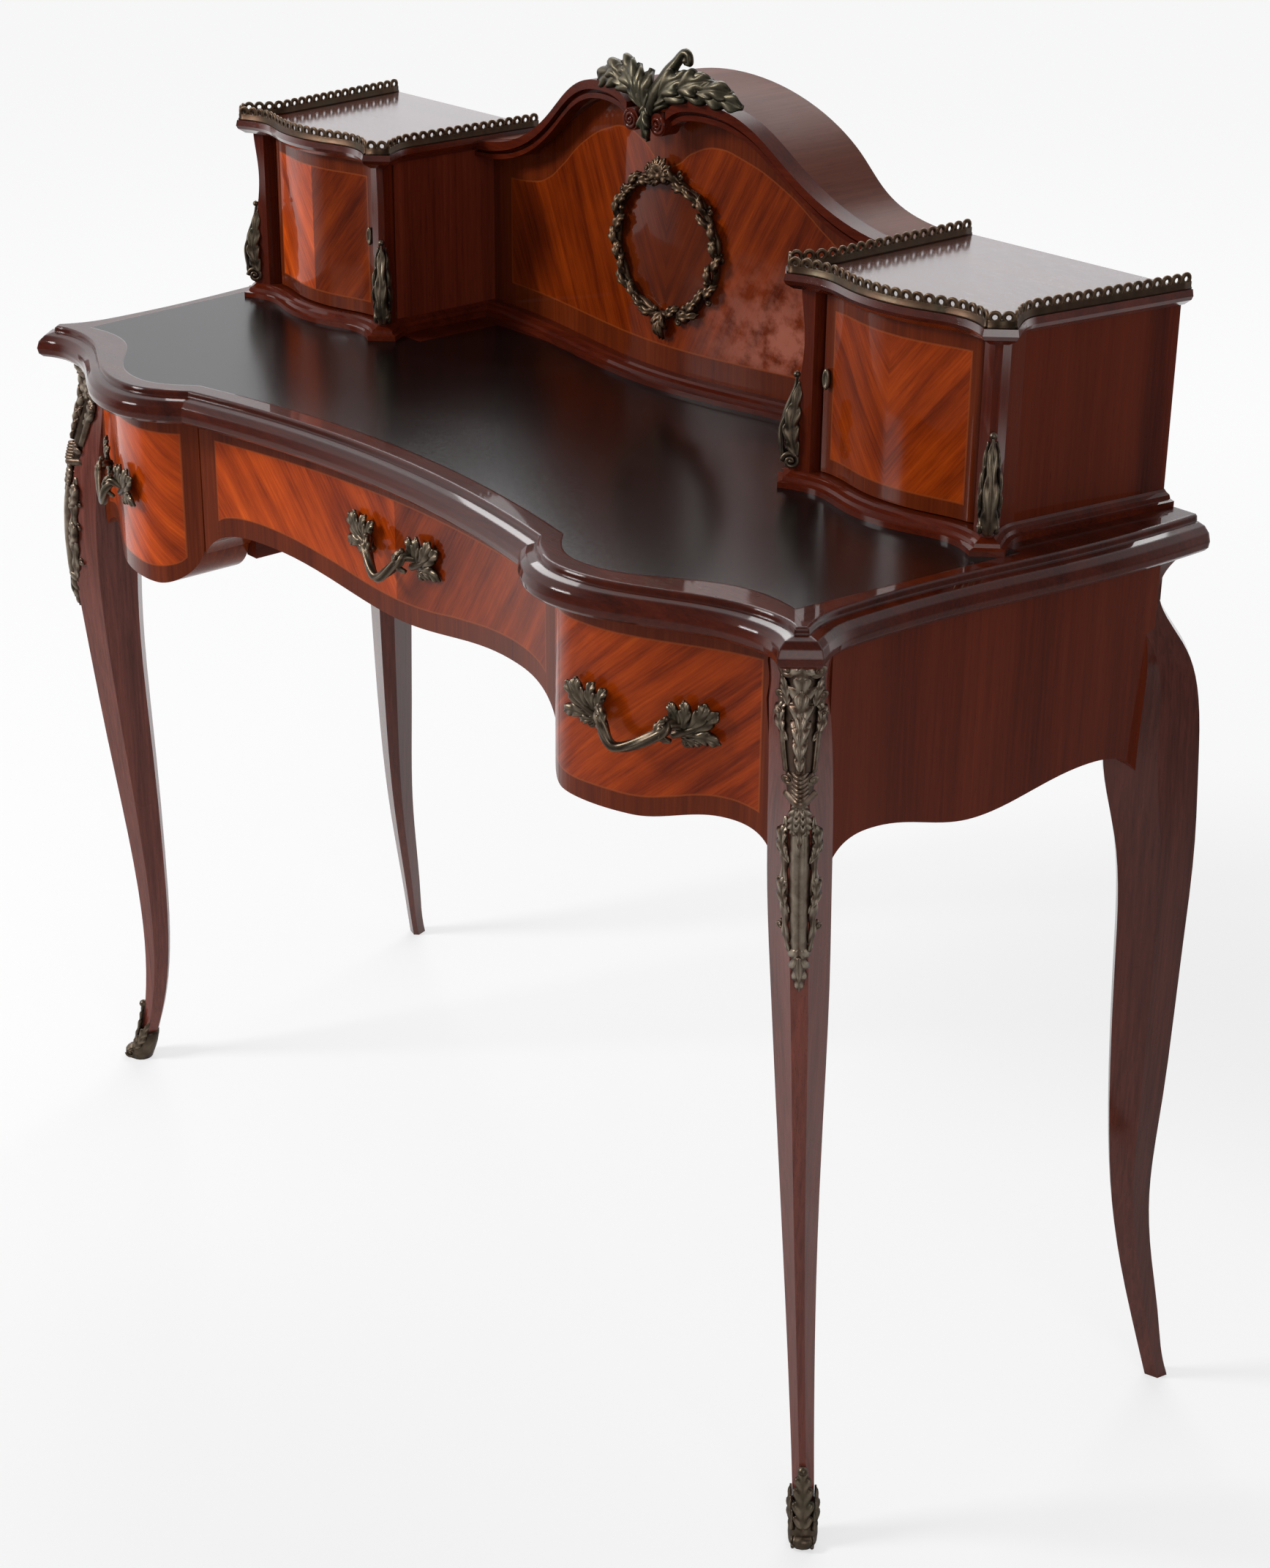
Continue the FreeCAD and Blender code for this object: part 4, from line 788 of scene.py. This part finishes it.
# Leaves of a cabinet corner's mount: off the corner, aside and height
CONSOLE_FRONT = [(7.5, 0, 764), (11.8, 0, 774), (13.2, 0, 788), (11.2, 0, 802), (6.2, 0, 816), (3.4, 0, 831)]
CONSOLE_FLANK = [(3, 5.2, 772), (6.2, 5.6, 784), (7.2, 5.2, 797), (4.5, 4, 812), (2.2, 2.6, 828)]


def pilaster_mount(out_axis, across_axis, out_base, across_base):
    """A console leaf standing out from a cabinet's corner, with a scroll at its foot."""
    cast = Cast()

    def at(*stops, way=1):
        return [out_axis * (out_base + out) + across_axis * (across_base + way * across) + UP * z
                for out, across, z in stops]

    cast.leaf(at(*CONSOLE_FRONT), out_axis, [5, 6.2, 5.8, 5, 3.8, 1], 3.4, lobes=3, cut=0.16, curl=1,
              steps=48, half=7)
    for way in (-1, 1):
        facing = across_axis * way
        cast.leaf(at(*CONSOLE_FLANK, way=way), facing, [3.5, 6.2, 6.6, 4.6, 1], 3, lobes=4, cut=0.24,
                  curl=1.5, steps=42, half=6)
        cast.volute(*at((6.8, 5, 768.5), way=way), facing, out_axis, 6.6, 1.9, 1.6, -way)
    cast.ball(*at((4.2, 0, 832.5)), 2.8)
    return cast


outer_mount = pilaster_mount(OUT, ACROSS, 295, 333.2)
inner_mount = pilaster_mount(-ACROSS, OUT, -202, 163.8)
make_pairs((outer_mount, dark_bronze, "cabinet_{}_leaf_outer", "desk", "cabinet_{}_leaf_mounts"),
           (inner_mount, dark_bronze, "cabinet_{}_leaf_inner", "desk", "cabinet_{}_leaf_mounts"))

# Arris of the right front leg: height, outward reach, place across the diagonal
LEG_ARRIS = [(722, 434, 211), (690, 430, 211), (660, 437, 211), (630, 446, 212.3), (600, 453, 213.1),
             (570, 456.5, 213.8), (540, 457.1, 214.6), (510, 455.6, 215.7), (480, 453, 217)]
FOOT_ARRIS = [(70, 425.7, 232.9), (60, 427, 233.2), (40, 430.5, 234), (20, 435.9, 234.8), (2, 443.2, 235)]

# The leg's mount bent round the arris: half width left flat, fall beyond it, growth aside and outwards;
# and the relief left on the ground behind its leaves
MOUNT_FLAT = 2.5
MOUNT_WRAP = 0.9
MOUNT_WIDEN = 1.1
MOUNT_LIFT = 1.3
MOUNT_GROUND = 0.4

# Nested leaves: root, tip, half width, lift; scrolls: height, aside, radius, thickness; sprigs: root, reach
MOUNT_LEAVES = ((668, 711, 9.5, 3.5), (656, 699, 8, 5), (646, 684, 5.8, 6))
MOUNT_SCROLLS = ((711, 10.2, 4.8, 2.1), (692, 12.4, 3.8, 1.7), (679, 14.2, 2.6, 1.2), (638, 7.8, 4, 1.6))
MOUNT_CURLS = (588, 566, 532)
MOUNT_SPRIGS = ((662, 12.8), (582, 10.8), (546, 10.4))
MOUNT_DROPS = ((-4.2, 602), (4.2, 602), (0, 594))
MOUNT_RINGS = 6
RING_TOP = 643
RING_PITCH = 2.8


def on_arris(stations, z, lift=0.0, aside=0.0):
    """A place on a leg's front arris, lifted off it and moved aside."""
    upper, lower = next(pair for pair in zip(stations, stations[1:]) if pair[1][0] <= z <= pair[0][0])
    share = (z - lower[0]) / (upper[0] - lower[0])
    _, out, along = Vector(lower).lerp(Vector(upper), share)
    return OUT * (out + lift) + ACROSS * (along + aside) + UP * z


def wrap(point):
    """A point of the leg's mount bent round the arris."""
    offset = point - on_arris(LEG_ARRIS, point.z)
    aside = offset.dot(ACROSS) * MOUNT_WIDEN
    lift = offset.dot(OUT) * MOUNT_LIFT - MOUNT_WRAP * max(0.0, abs(aside) - MOUNT_FLAT)
    return on_arris(LEG_ARRIS, point.z, lift, aside)


def leg_mount():
    """Corner mount of a front leg: leaves, a ringed bell, a drop and a long tail."""
    cast = Cast()

    def at(z, lift, aside=0):
        return on_arris(LEG_ARRIS, z, lift, aside)

    def middle(lift, *heights):
        return [at(z, lift) for z in heights]

    def spine(lift, way, *stops):
        return [at(z, lift, way * aside) for z, aside in stops]

    cast.leaf(middle(0, 716, 700, 682, 662, 642, 628), OUT, [11.5, 12.4, 12, 11.2, 9.8, 9], 5.8, steps=44,
              half=7)
    cast.relief = [height * MOUNT_GROUND for height in cast.relief]
    for root, tip, wide, lift in MOUNT_LEAVES:
        cast.leaf(middle(lift, root, (root * 2 + tip) / 3, (root + tip * 2) / 3, tip), OUT,
                  [wide * 0.45, wide * 0.8, wide, wide * 0.25], 3.6, lobes=4, cut=0.36, curl=2.2,
                  steps=40, half=6)
    cast.leaf(middle(0, 721, 716, 708), OUT, [8.5, 10, 8.5], 7.5, lobes=2, cut=0.2, curl=2, steps=16)
    for way in (-1, 1):
        cast.tube(spine(3.2, way, (708, 11.8), (688, 12), (664, 10.8), (642, 8.6)), [1.6, 2.1, 1.9, 1.7],
                  steps=30, sides=10)
        for z, aside, radius, thick in MOUNT_SCROLLS:
            cast.volute(at(z, 4.2, way * aside), OUT, UP, radius, thick, way=way)
        cast.leaf(spine(4, way, (686, 8.5), (697, 9.8), (706, 12.2)), OUT, [2.2, 3.6, 1], 3.2, lobes=3,
                  cut=0.3, curl=1.5, steps=20, half=4)
        garland = spine(1.5, way, (612, 7.8), (585, 8.6), (555, 8.4), (528, 7.4), (512, 5.5))
        cast.leaf(garland, OUT + ACROSS * way * 0.6, [1.6, 3, 3.2, 2.8, 1], 3, lobes=6, cut=0.4, curl=1.2,
                  steps=44, half=4)
        for z in MOUNT_CURLS:
            cast.volute(at(z, 0, way * 11.8), OUT, UP, 3, 1.2, 1.2, way)
        for z, reach in MOUNT_SPRIGS:
            sprig = spine(2, way * reach, (z, 0.6), (z + 8, 0.95), (z + 19, 1), (z + 25, 0.76))
            cast.leaf(sprig, OUT, [2, 3.6, 3.4, 1], 3.8, lobes=4, cut=0.34, curl=1.4, steps=24, half=4)
    for k in range(MOUNT_RINGS):
        z = RING_TOP - RING_PITCH * k
        cast.tube([at(z, 4, -5), at(z - 0.6, 7.6), at(z, 4, 5)], [1.3, 1.7, 1.3], steps=12, sides=8)
    cast.tube([at(627, 0, -8.8), at(624.5, 4.5), at(627, 0, 8.8)], [3, 4, 3], steps=16)
    for aside, tip in MOUNT_DROPS:
        cast.leaf(spine(4, aside, (624, 0.4), (616, 0.9), (608, 1), (tip, 1.1)), OUT, [2.6, 3.6, 3.4, 1], 2.6,
                  lobes=5, cut=0.36, curl=1.6)
    cast.leaf(middle(1, 620, 590, 560, 530, 514), OUT, [7.4, 7.6, 7.4, 6.6, 5.5], 4.6, steps=36, half=6)
    cast.leaf(middle(1, 520, 508, 496, 485), OUT, [7.4, 6.8, 5, 1], 4.2, lobes=4, cut=0.3, curl=1, steps=28)
    cast.leaf(middle(3.5, 514, 504, 494), OUT, [2.2, 3.4, 1], 2.6, steps=16, half=4)
    cast.points = [wrap(point) for point in cast.points]
    return cast


# Rings of a shoe: height and growth over the foot
SHOE_RINGS = ((0, 2), (6, 2.6), (12, 2.4), (18, 1.8), (26, 1.2), (30, 0.4))
SHOE_DEEP = 8.5
SHOE_WIDE = 8.8
SHOE_TOE = 2.2


def sabot():
    """Bronze shoe of a front foot: an upright leaf with a ball, jagged sides and a scrolled toe."""
    cast = Cast()
    rows = []
    for z, grow in SHOE_RINGS:
        front = on_arris(FOOT_ARRIS, max(z, 2))
        front.z = z
        row = []
        for turn in turns(16):
            reach = SHOE_DEEP + grow + (SHOE_TOE if math.cos(turn) > 0.5 else 0)
            row.append((front - OUT * SHOE_DEEP + OUT * (math.cos(turn) * reach)
                        + ACROSS * (math.sin(turn) * (SHOE_WIDE + grow)), 0.5 if z < 20 else 0.2))
        rows.append(row)
    cast.skin(rows)
    cast.leaf([on_arris(FOOT_ARRIS, z, 1.2) for z in (14, 26, 40, 52, 62)], OUT, [7.5, 8.8, 8, 6, 2], 3.8,
              lobes=5, cut=0.34, curl=1, steps=40, half=6)
    for way in (-1, 1):
        for low, high in ((12, 34), (18, 42)):
            flank = ((low, 0, 7.5), ((low + high) / 2, -4, 9.5), (high, -8, 9.2))
            cast.leaf([on_arris(FOOT_ARRIS, z, lift, way * aside) for z, lift, aside in flank],
                      OUT * 0.5 + ACROSS * way, [4.2, 4.8, 1], 2.2, lobes=3, cut=0.4, curl=1.2, steps=20,
                      half=4)
    cast.ball(on_arris(FOOT_ARRIS, 59.5, 2.2), 4.2)
    toe = on_arris(FOOT_ARRIS, 2, 1.2)
    toe.z = 5.8
    cast.tube([toe - ACROSS * 6.5, toe + OUT * 1.2, toe + ACROSS * 6.5], [4.6, 5.4, 4.6], steps=12)
    for way in (-1, 1):
        cast.volute(toe + ACROSS * (way * 7.2), ACROSS * way, OUT, 4.6, 1.5, 1.2, way)
    return cast


make_pairs((leg_mount(), bright_bronze, "leg_bronze_{}", "desk", "leg_mount_{}"),
           (sabot(), dark_bronze, "shoe_{}", "desk", "sabot_{}"))

WREATH_MIDDLE = WREATH_HEIGHT / MM
WREATH_HALF = (60, 56)
WREATH_LEAVES = 30
WREATH_STEM = 36
PANEL_DEPTH = 137.5
PANEL_BOW = 15.5
PANEL_REACH = 260

# Leaves of the wreath's finials: lean in degrees and length
CROWN_LEAVES = ((-75, 13), (-42, 14.5), (-12, 15.5), (18, 15.5), (48, 14.5), (78, 13))
DROP_LEAVES = ((-38, 14), (-13, 21), (13, 21), (38, 14))


def wreath_spot(turn, out=0.0, lift=0.0):
    """A place on the oval, in front of the panel's bowed face."""
    x = (WREATH_HALF[0] + out) * math.cos(turn)
    face = PANEL_DEPTH - PANEL_BOW * math.cos(math.pi * min(1.0, abs(x) / PANEL_REACH))
    return Vector((x, face - lift, WREATH_MIDDLE + (WREATH_HALF[1] + out) * math.sin(turn)))


def wreath():
    """Oval garland of leaves, buds and curls with leafy finials above and below."""
    cast = Cast()
    dice = random.Random(7)
    pitch = FULL_TURN / WREATH_LEAVES
    for k, turn in enumerate(turns(WREATH_LEAVES)):
        swing = 4 * math.sin(k * 2.4) + dice.uniform(-1.2, 1.2)
        long = 1.2 + 0.5 * dice.random()
        way = 1 if math.cos(turn) > 0 else -1
        reach = way * pitch * long
        stops = [wreath_spot(turn + reach * s, swing * s * 1.6, 2.2 + 4.2 * math.sin(math.pi * s))
                 for s in (0, 0.35, 0.7, 1)]
        wide = dice.uniform(3.6, 5.2)
        cast.leaf(stops, FRONT, [wide * 0.6, wide, wide * 0.9, wide * 0.2], 3.8, lobes=3, cut=0.38, curl=1.6,
                  steps=18, half=4)
        if k % 3 == 1:
            cast.ball(wreath_spot(turn, -3.5, 5.5), 2.9)
        if k % 3 == 0:
            cast.volute(wreath_spot(turn, 5.5, 3.4), FRONT, UP, 3.8, 1.4, 1.2, way)
    ring = [wreath_spot(FULL_TURN * k / WREATH_STEM, 1.2 * math.sin(k * 1.7), 2.6)
            for k in range(WREATH_STEM + 1)]
    cast.tube(ring, [2.8, 3.4] * (WREATH_STEM // 2) + [2.8], steps=110, sides=10)
    crown = wreath_spot(math.pi / 2, lift=3)
    for lean, long in CROWN_LEAVES:
        ray = Vector((math.sin(math.radians(lean)), 0, math.cos(math.radians(lean))))
        cast.leaf([crown, crown + ray * long * 0.5 + FRONT * 5, crown + ray * long + FRONT * 3], FRONT,
                  [3, 5.8, 1], 3.6, lobes=3, cut=0.36, curl=2, steps=20, half=4)
    cast.ball(crown + FRONT * 4, 5)
    drop = wreath_spot(-math.pi / 2, lift=3)
    for lean, long in DROP_LEAVES:
        ray = Vector((math.sin(math.radians(lean)), 0, -math.cos(math.radians(lean))))
        tip = drop + Vector((ray.x * 8, 0, ray.z * long))
        cast.leaf([drop, drop + ray * long * 0.5 + FRONT * 4, tip], FRONT, [3, 4.2, 1.2], 3.6, lobes=2,
                  cut=0.25, curl=1, steps=18, half=4)
    return cast


wreath().make("wreath_leaves", "desk", brown_bronze, "wreath")

# Leaves of the crest: spine, half widths and number of lobes
CREST_LEAVES = [
    ([(2, 101, 973), (-14, 101, 990), (-34, 103, 996), (-52, 105, 993), (-68, 108, 985)],
     [5, 12.5, 13, 10, 3], 4),
    ([(0, 100, 976), (-12, 98, 994), (-24, 102, 1002), (-36, 107, 1005)], [5, 11.5, 11.5, 3], 3),
    ([(-20, 100, 988), (-38, 102, 998), (-54, 107, 999)], [5, 10.5, 3], 2),
    ([(1, 98, 976), (-5, 96, 993), (-13, 104, 1007)], [5, 10.5, 3], 2),
    ([(2, 98, 975), (3, 96, 991), (2, 104, 1005)], [5, 9.5, 3], 2),
    ([(4, 101, 973), (22, 101, 989), (44, 103, 997), (66, 105, 997), (84, 107, 993), (99, 110, 989)],
     [5, 12.5, 13.5, 12, 9, 3], 5),
    ([(12, 99, 980), (30, 99, 997), (49, 106, 1007)], [5, 11.5, 3], 3),
    ([(30, 100, 990), (50, 101, 1000), (69, 107, 1005)], [5, 11.5, 3], 3),
    ([(56, 102, 995), (74, 104, 999), (89, 109, 998)], [4, 9.5, 3], 2),
    ([(3, 99, 978), (4, 96, 965), (6, 97, 951)], [4.5, 6.5, 1], 3),
]
CREST_STEM = [(3, 101, 972), (10, 98, 985), (21, 102, 1003), (29, 106, 1015), (35, 107, 1021.5),
              (40.5, 107, 1020.5), (41.5, 107, 1015), (37, 107, 1014.5)]
CREST_STEM_RADII = [6.2, 6.6, 5.6, 4, 3.4, 3, 2.8, 2.4]


def crest():
    """Spray of leaves on the arch's moulding, with a curled stem rising from its root."""
    cast = Cast()
    facing = Vector((0, -1, 0.25)).normalized()
    for points, widths, lobes in CREST_LEAVES:
        cast.leaf(points, facing, widths, 6.2, lobes, cut=0.3, curl=3, steps=44, half=7)
    cast.tube(CREST_STEM, CREST_STEM_RADII, steps=60, ribs=4, twist=6, depth=0.1)
    cast.ball((37.5, 107, 1016), 3.6)
    return cast


crest().make("crest_leaves", "desk", green_bronze, "crest_ornament")

# Carved spirals on the ends of the arch's moulding
scroll = Cast()
scroll.volute((16, 97.5, 965), FRONT, (0.5, 0, 1), 7.8, 1.7, 1.9, -1)
make_pairs((scroll, mahogany_x, "arch_scroll_{}", "desk"), slot="mahogany")

# Finger tab of a door: middle, half width and height, and rim as height off the door and size
TAB_SPOT = (280, 31.8, 833.1)
TAB_HALF = (3, 8)
TAB_RIM = ((0, 0.9), (2.2, 1), (3.6, 0.92), (3.6, 0.7), (2.8, 0.55), (2.6, 0.05))


def door_tab():
    """Small oval finger tab with a raised rim at a door's free edge."""
    cast = Cast()
    rows = []
    for level, size in TAB_RIM:
        row = []
        for turn in turns(20):
            off = Vector((TAB_HALF[0] * size * math.cos(turn), -level, TAB_HALF[1] * size * math.sin(turn)))
            row.append((Vector(TAB_SPOT) + off, 0.2 + 0.18 * level))
        rows.append(row)
    cast.skin(rows)
    return cast


make_pairs((door_tab(), dark_bronze, "door_tab_{}", "door_{}", "cabinet_{}_door_pull"))


# Stage: floor, light and camera, in metres
FLOOR_HALF = 12.0
FLOOR_DARK = rgb(0.95, 0.95, 0.95)
FLOOR_LIGHT = rgb(0.97, 0.97, 0.97)
FLOOR_GLOW = rgb(0.985, 0.985, 0.99)
FLOOR_SLOPE = 0.6
STUDIO = rgb(0.95, 0.95, 0.97)
STUDIO_LEVEL = 0.38

# Lamps: name, size, place, target, power
LAMPS = [
    ("key", (0.8, 0.8), (-1.55, -2.35, 2.3), (-0.15, 0, 0.65), 64.0),
    ("fill", (1.5, 1.5), (2.6, -1.2, 1.6), (0, 0, 0.6), 14.0),
    ("back", (3.0, 1.4), (-2.0, 2.2, 3.1), (0, 0, 0.8), 62.0),
]

# Camera fitted to the photograph
SENSOR = 36.0
LENS = 78.53
SHIFT = (0.0275, -0.0004)
CAMERA_SPOT = Vector((1.652, -1.341, 1.399))
CAMERA_TARGET = Vector((0.015, 0.042, 0.416))
CAMERA_ROLL = math.radians(0.225)


def looking(spot, target):
    """Turn of a lamp or camera at a spot towards its target."""
    return (Vector(target) - Vector(spot)).to_track_quat("-Z", "Y")


def add_light(name, size, spot, target, power):
    lamp = bpy.data.lights.new(name, "AREA")
    lamp.shape = "RECTANGLE"
    lamp.size, lamp.size_y = size
    lamp.energy = power
    made = bpy.data.objects.new(name, lamp)
    made.location = spot
    made.rotation_euler = looking(spot, target).to_euler()
    bpy.context.scene.collection.objects.link(made)


def add_floor():
    """Pale floor that shows nearly white to the camera and in the polish, and keeps the shadows."""
    mesh = bpy.data.meshes.new("floor")
    corners = [(x * FLOOR_HALF, y * FLOOR_HALF, 0) for x, y in ((-1, -1), (1, -1), (1, 1), (-1, 1))]
    mesh.from_pydata(corners, [], [(0, 1, 2, 3)])
    made = bpy.data.objects.new("floor", mesh)
    bpy.context.scene.collection.objects.link(made)
    shader = Shader("pale floor")
    grain = shader.noise(shader.place(), 3.0, detail=2.0)
    shader.set(Base_Color=shader.mix(grain, FLOOR_DARK, FLOOR_LIGHT), Roughness=0.9)
    direct, glossy, _ = shader.rays()
    x, y, _ = shader.split(shader.place())
    # In the polish's reflections the floor glows brighter towards the back and the left: a painted lit area
    # of the floor
    left = shader.weighted((y, FLOOR_SLOPE), (x, -FLOOR_SLOPE))
    mirrored = shader.times(glossy, shader.range(left, -0.1, 0.9, 0.1, 1.0))
    strength = shader.calc("MAXIMUM", direct, mirrored)
    glow = shader.node("Emission", {"Color": FLOOR_GLOW, "Strength": strength})
    seen = shader.calc("MAXIMUM", direct, glossy)
    far = shader.node("VectorMath", {0: shader.place()}, pick="Value", operation="LENGTH")
    share = shader.times(seen, shader.range(far, 0.9, 2.6, 0.62, 0.91))
    both = shader.node("MixShader", {0: share, 1: shader.surface.outputs[0], 2: glow})
    shader.feed(shader.tree.nodes["Material Output"].inputs["Surface"], both)
    mesh.materials.append(shader.material)


def light_world():
    """White behind the desk, dimmer in front and on the right, where the polish mirrors the room."""
    world = bpy.data.worlds.new("studio")
    bpy.context.scene.world = world
    world.use_nodes = True
    sky = Nodes(world.node_tree)
    direct, glossy, dull = sky.rays()
    x, y, _ = sky.split(sky.place("Generated"))
    mirrored = sky.times(glossy, sky.range(sky.less(y, x), -0.2, 0.5, 0.15, 1.0))
    level = sky.chain("MAXIMUM", direct, mirrored, sky.range(dull, 0.0, 1.0, 0.0, STUDIO_LEVEL))
    back = world.node_tree.nodes["Background"]
    sky.feed(back.inputs["Color"], STUDIO)
    sky.feed(back.inputs["Strength"], level)


def add_camera():
    camera = bpy.data.cameras.new("camera")
    camera.sensor_fit = "HORIZONTAL"
    camera.sensor_width = SENSOR
    camera.lens = LENS
    camera.shift_x, camera.shift_y = SHIFT
    made = bpy.data.objects.new("camera", camera)
    turn = looking(CAMERA_SPOT, CAMERA_TARGET).to_matrix() @ Matrix.Rotation(CAMERA_ROLL, 3, "Z")
    made.matrix_world = Matrix.Translation(CAMERA_SPOT) @ turn.to_4x4()
    bpy.context.scene.collection.objects.link(made)
    bpy.context.scene.camera = made


add_floor()
light_world()
for lamp in LAMPS:
    add_light(*lamp)
add_camera()
bpy.context.scene.view_settings.view_transform = "Standard"
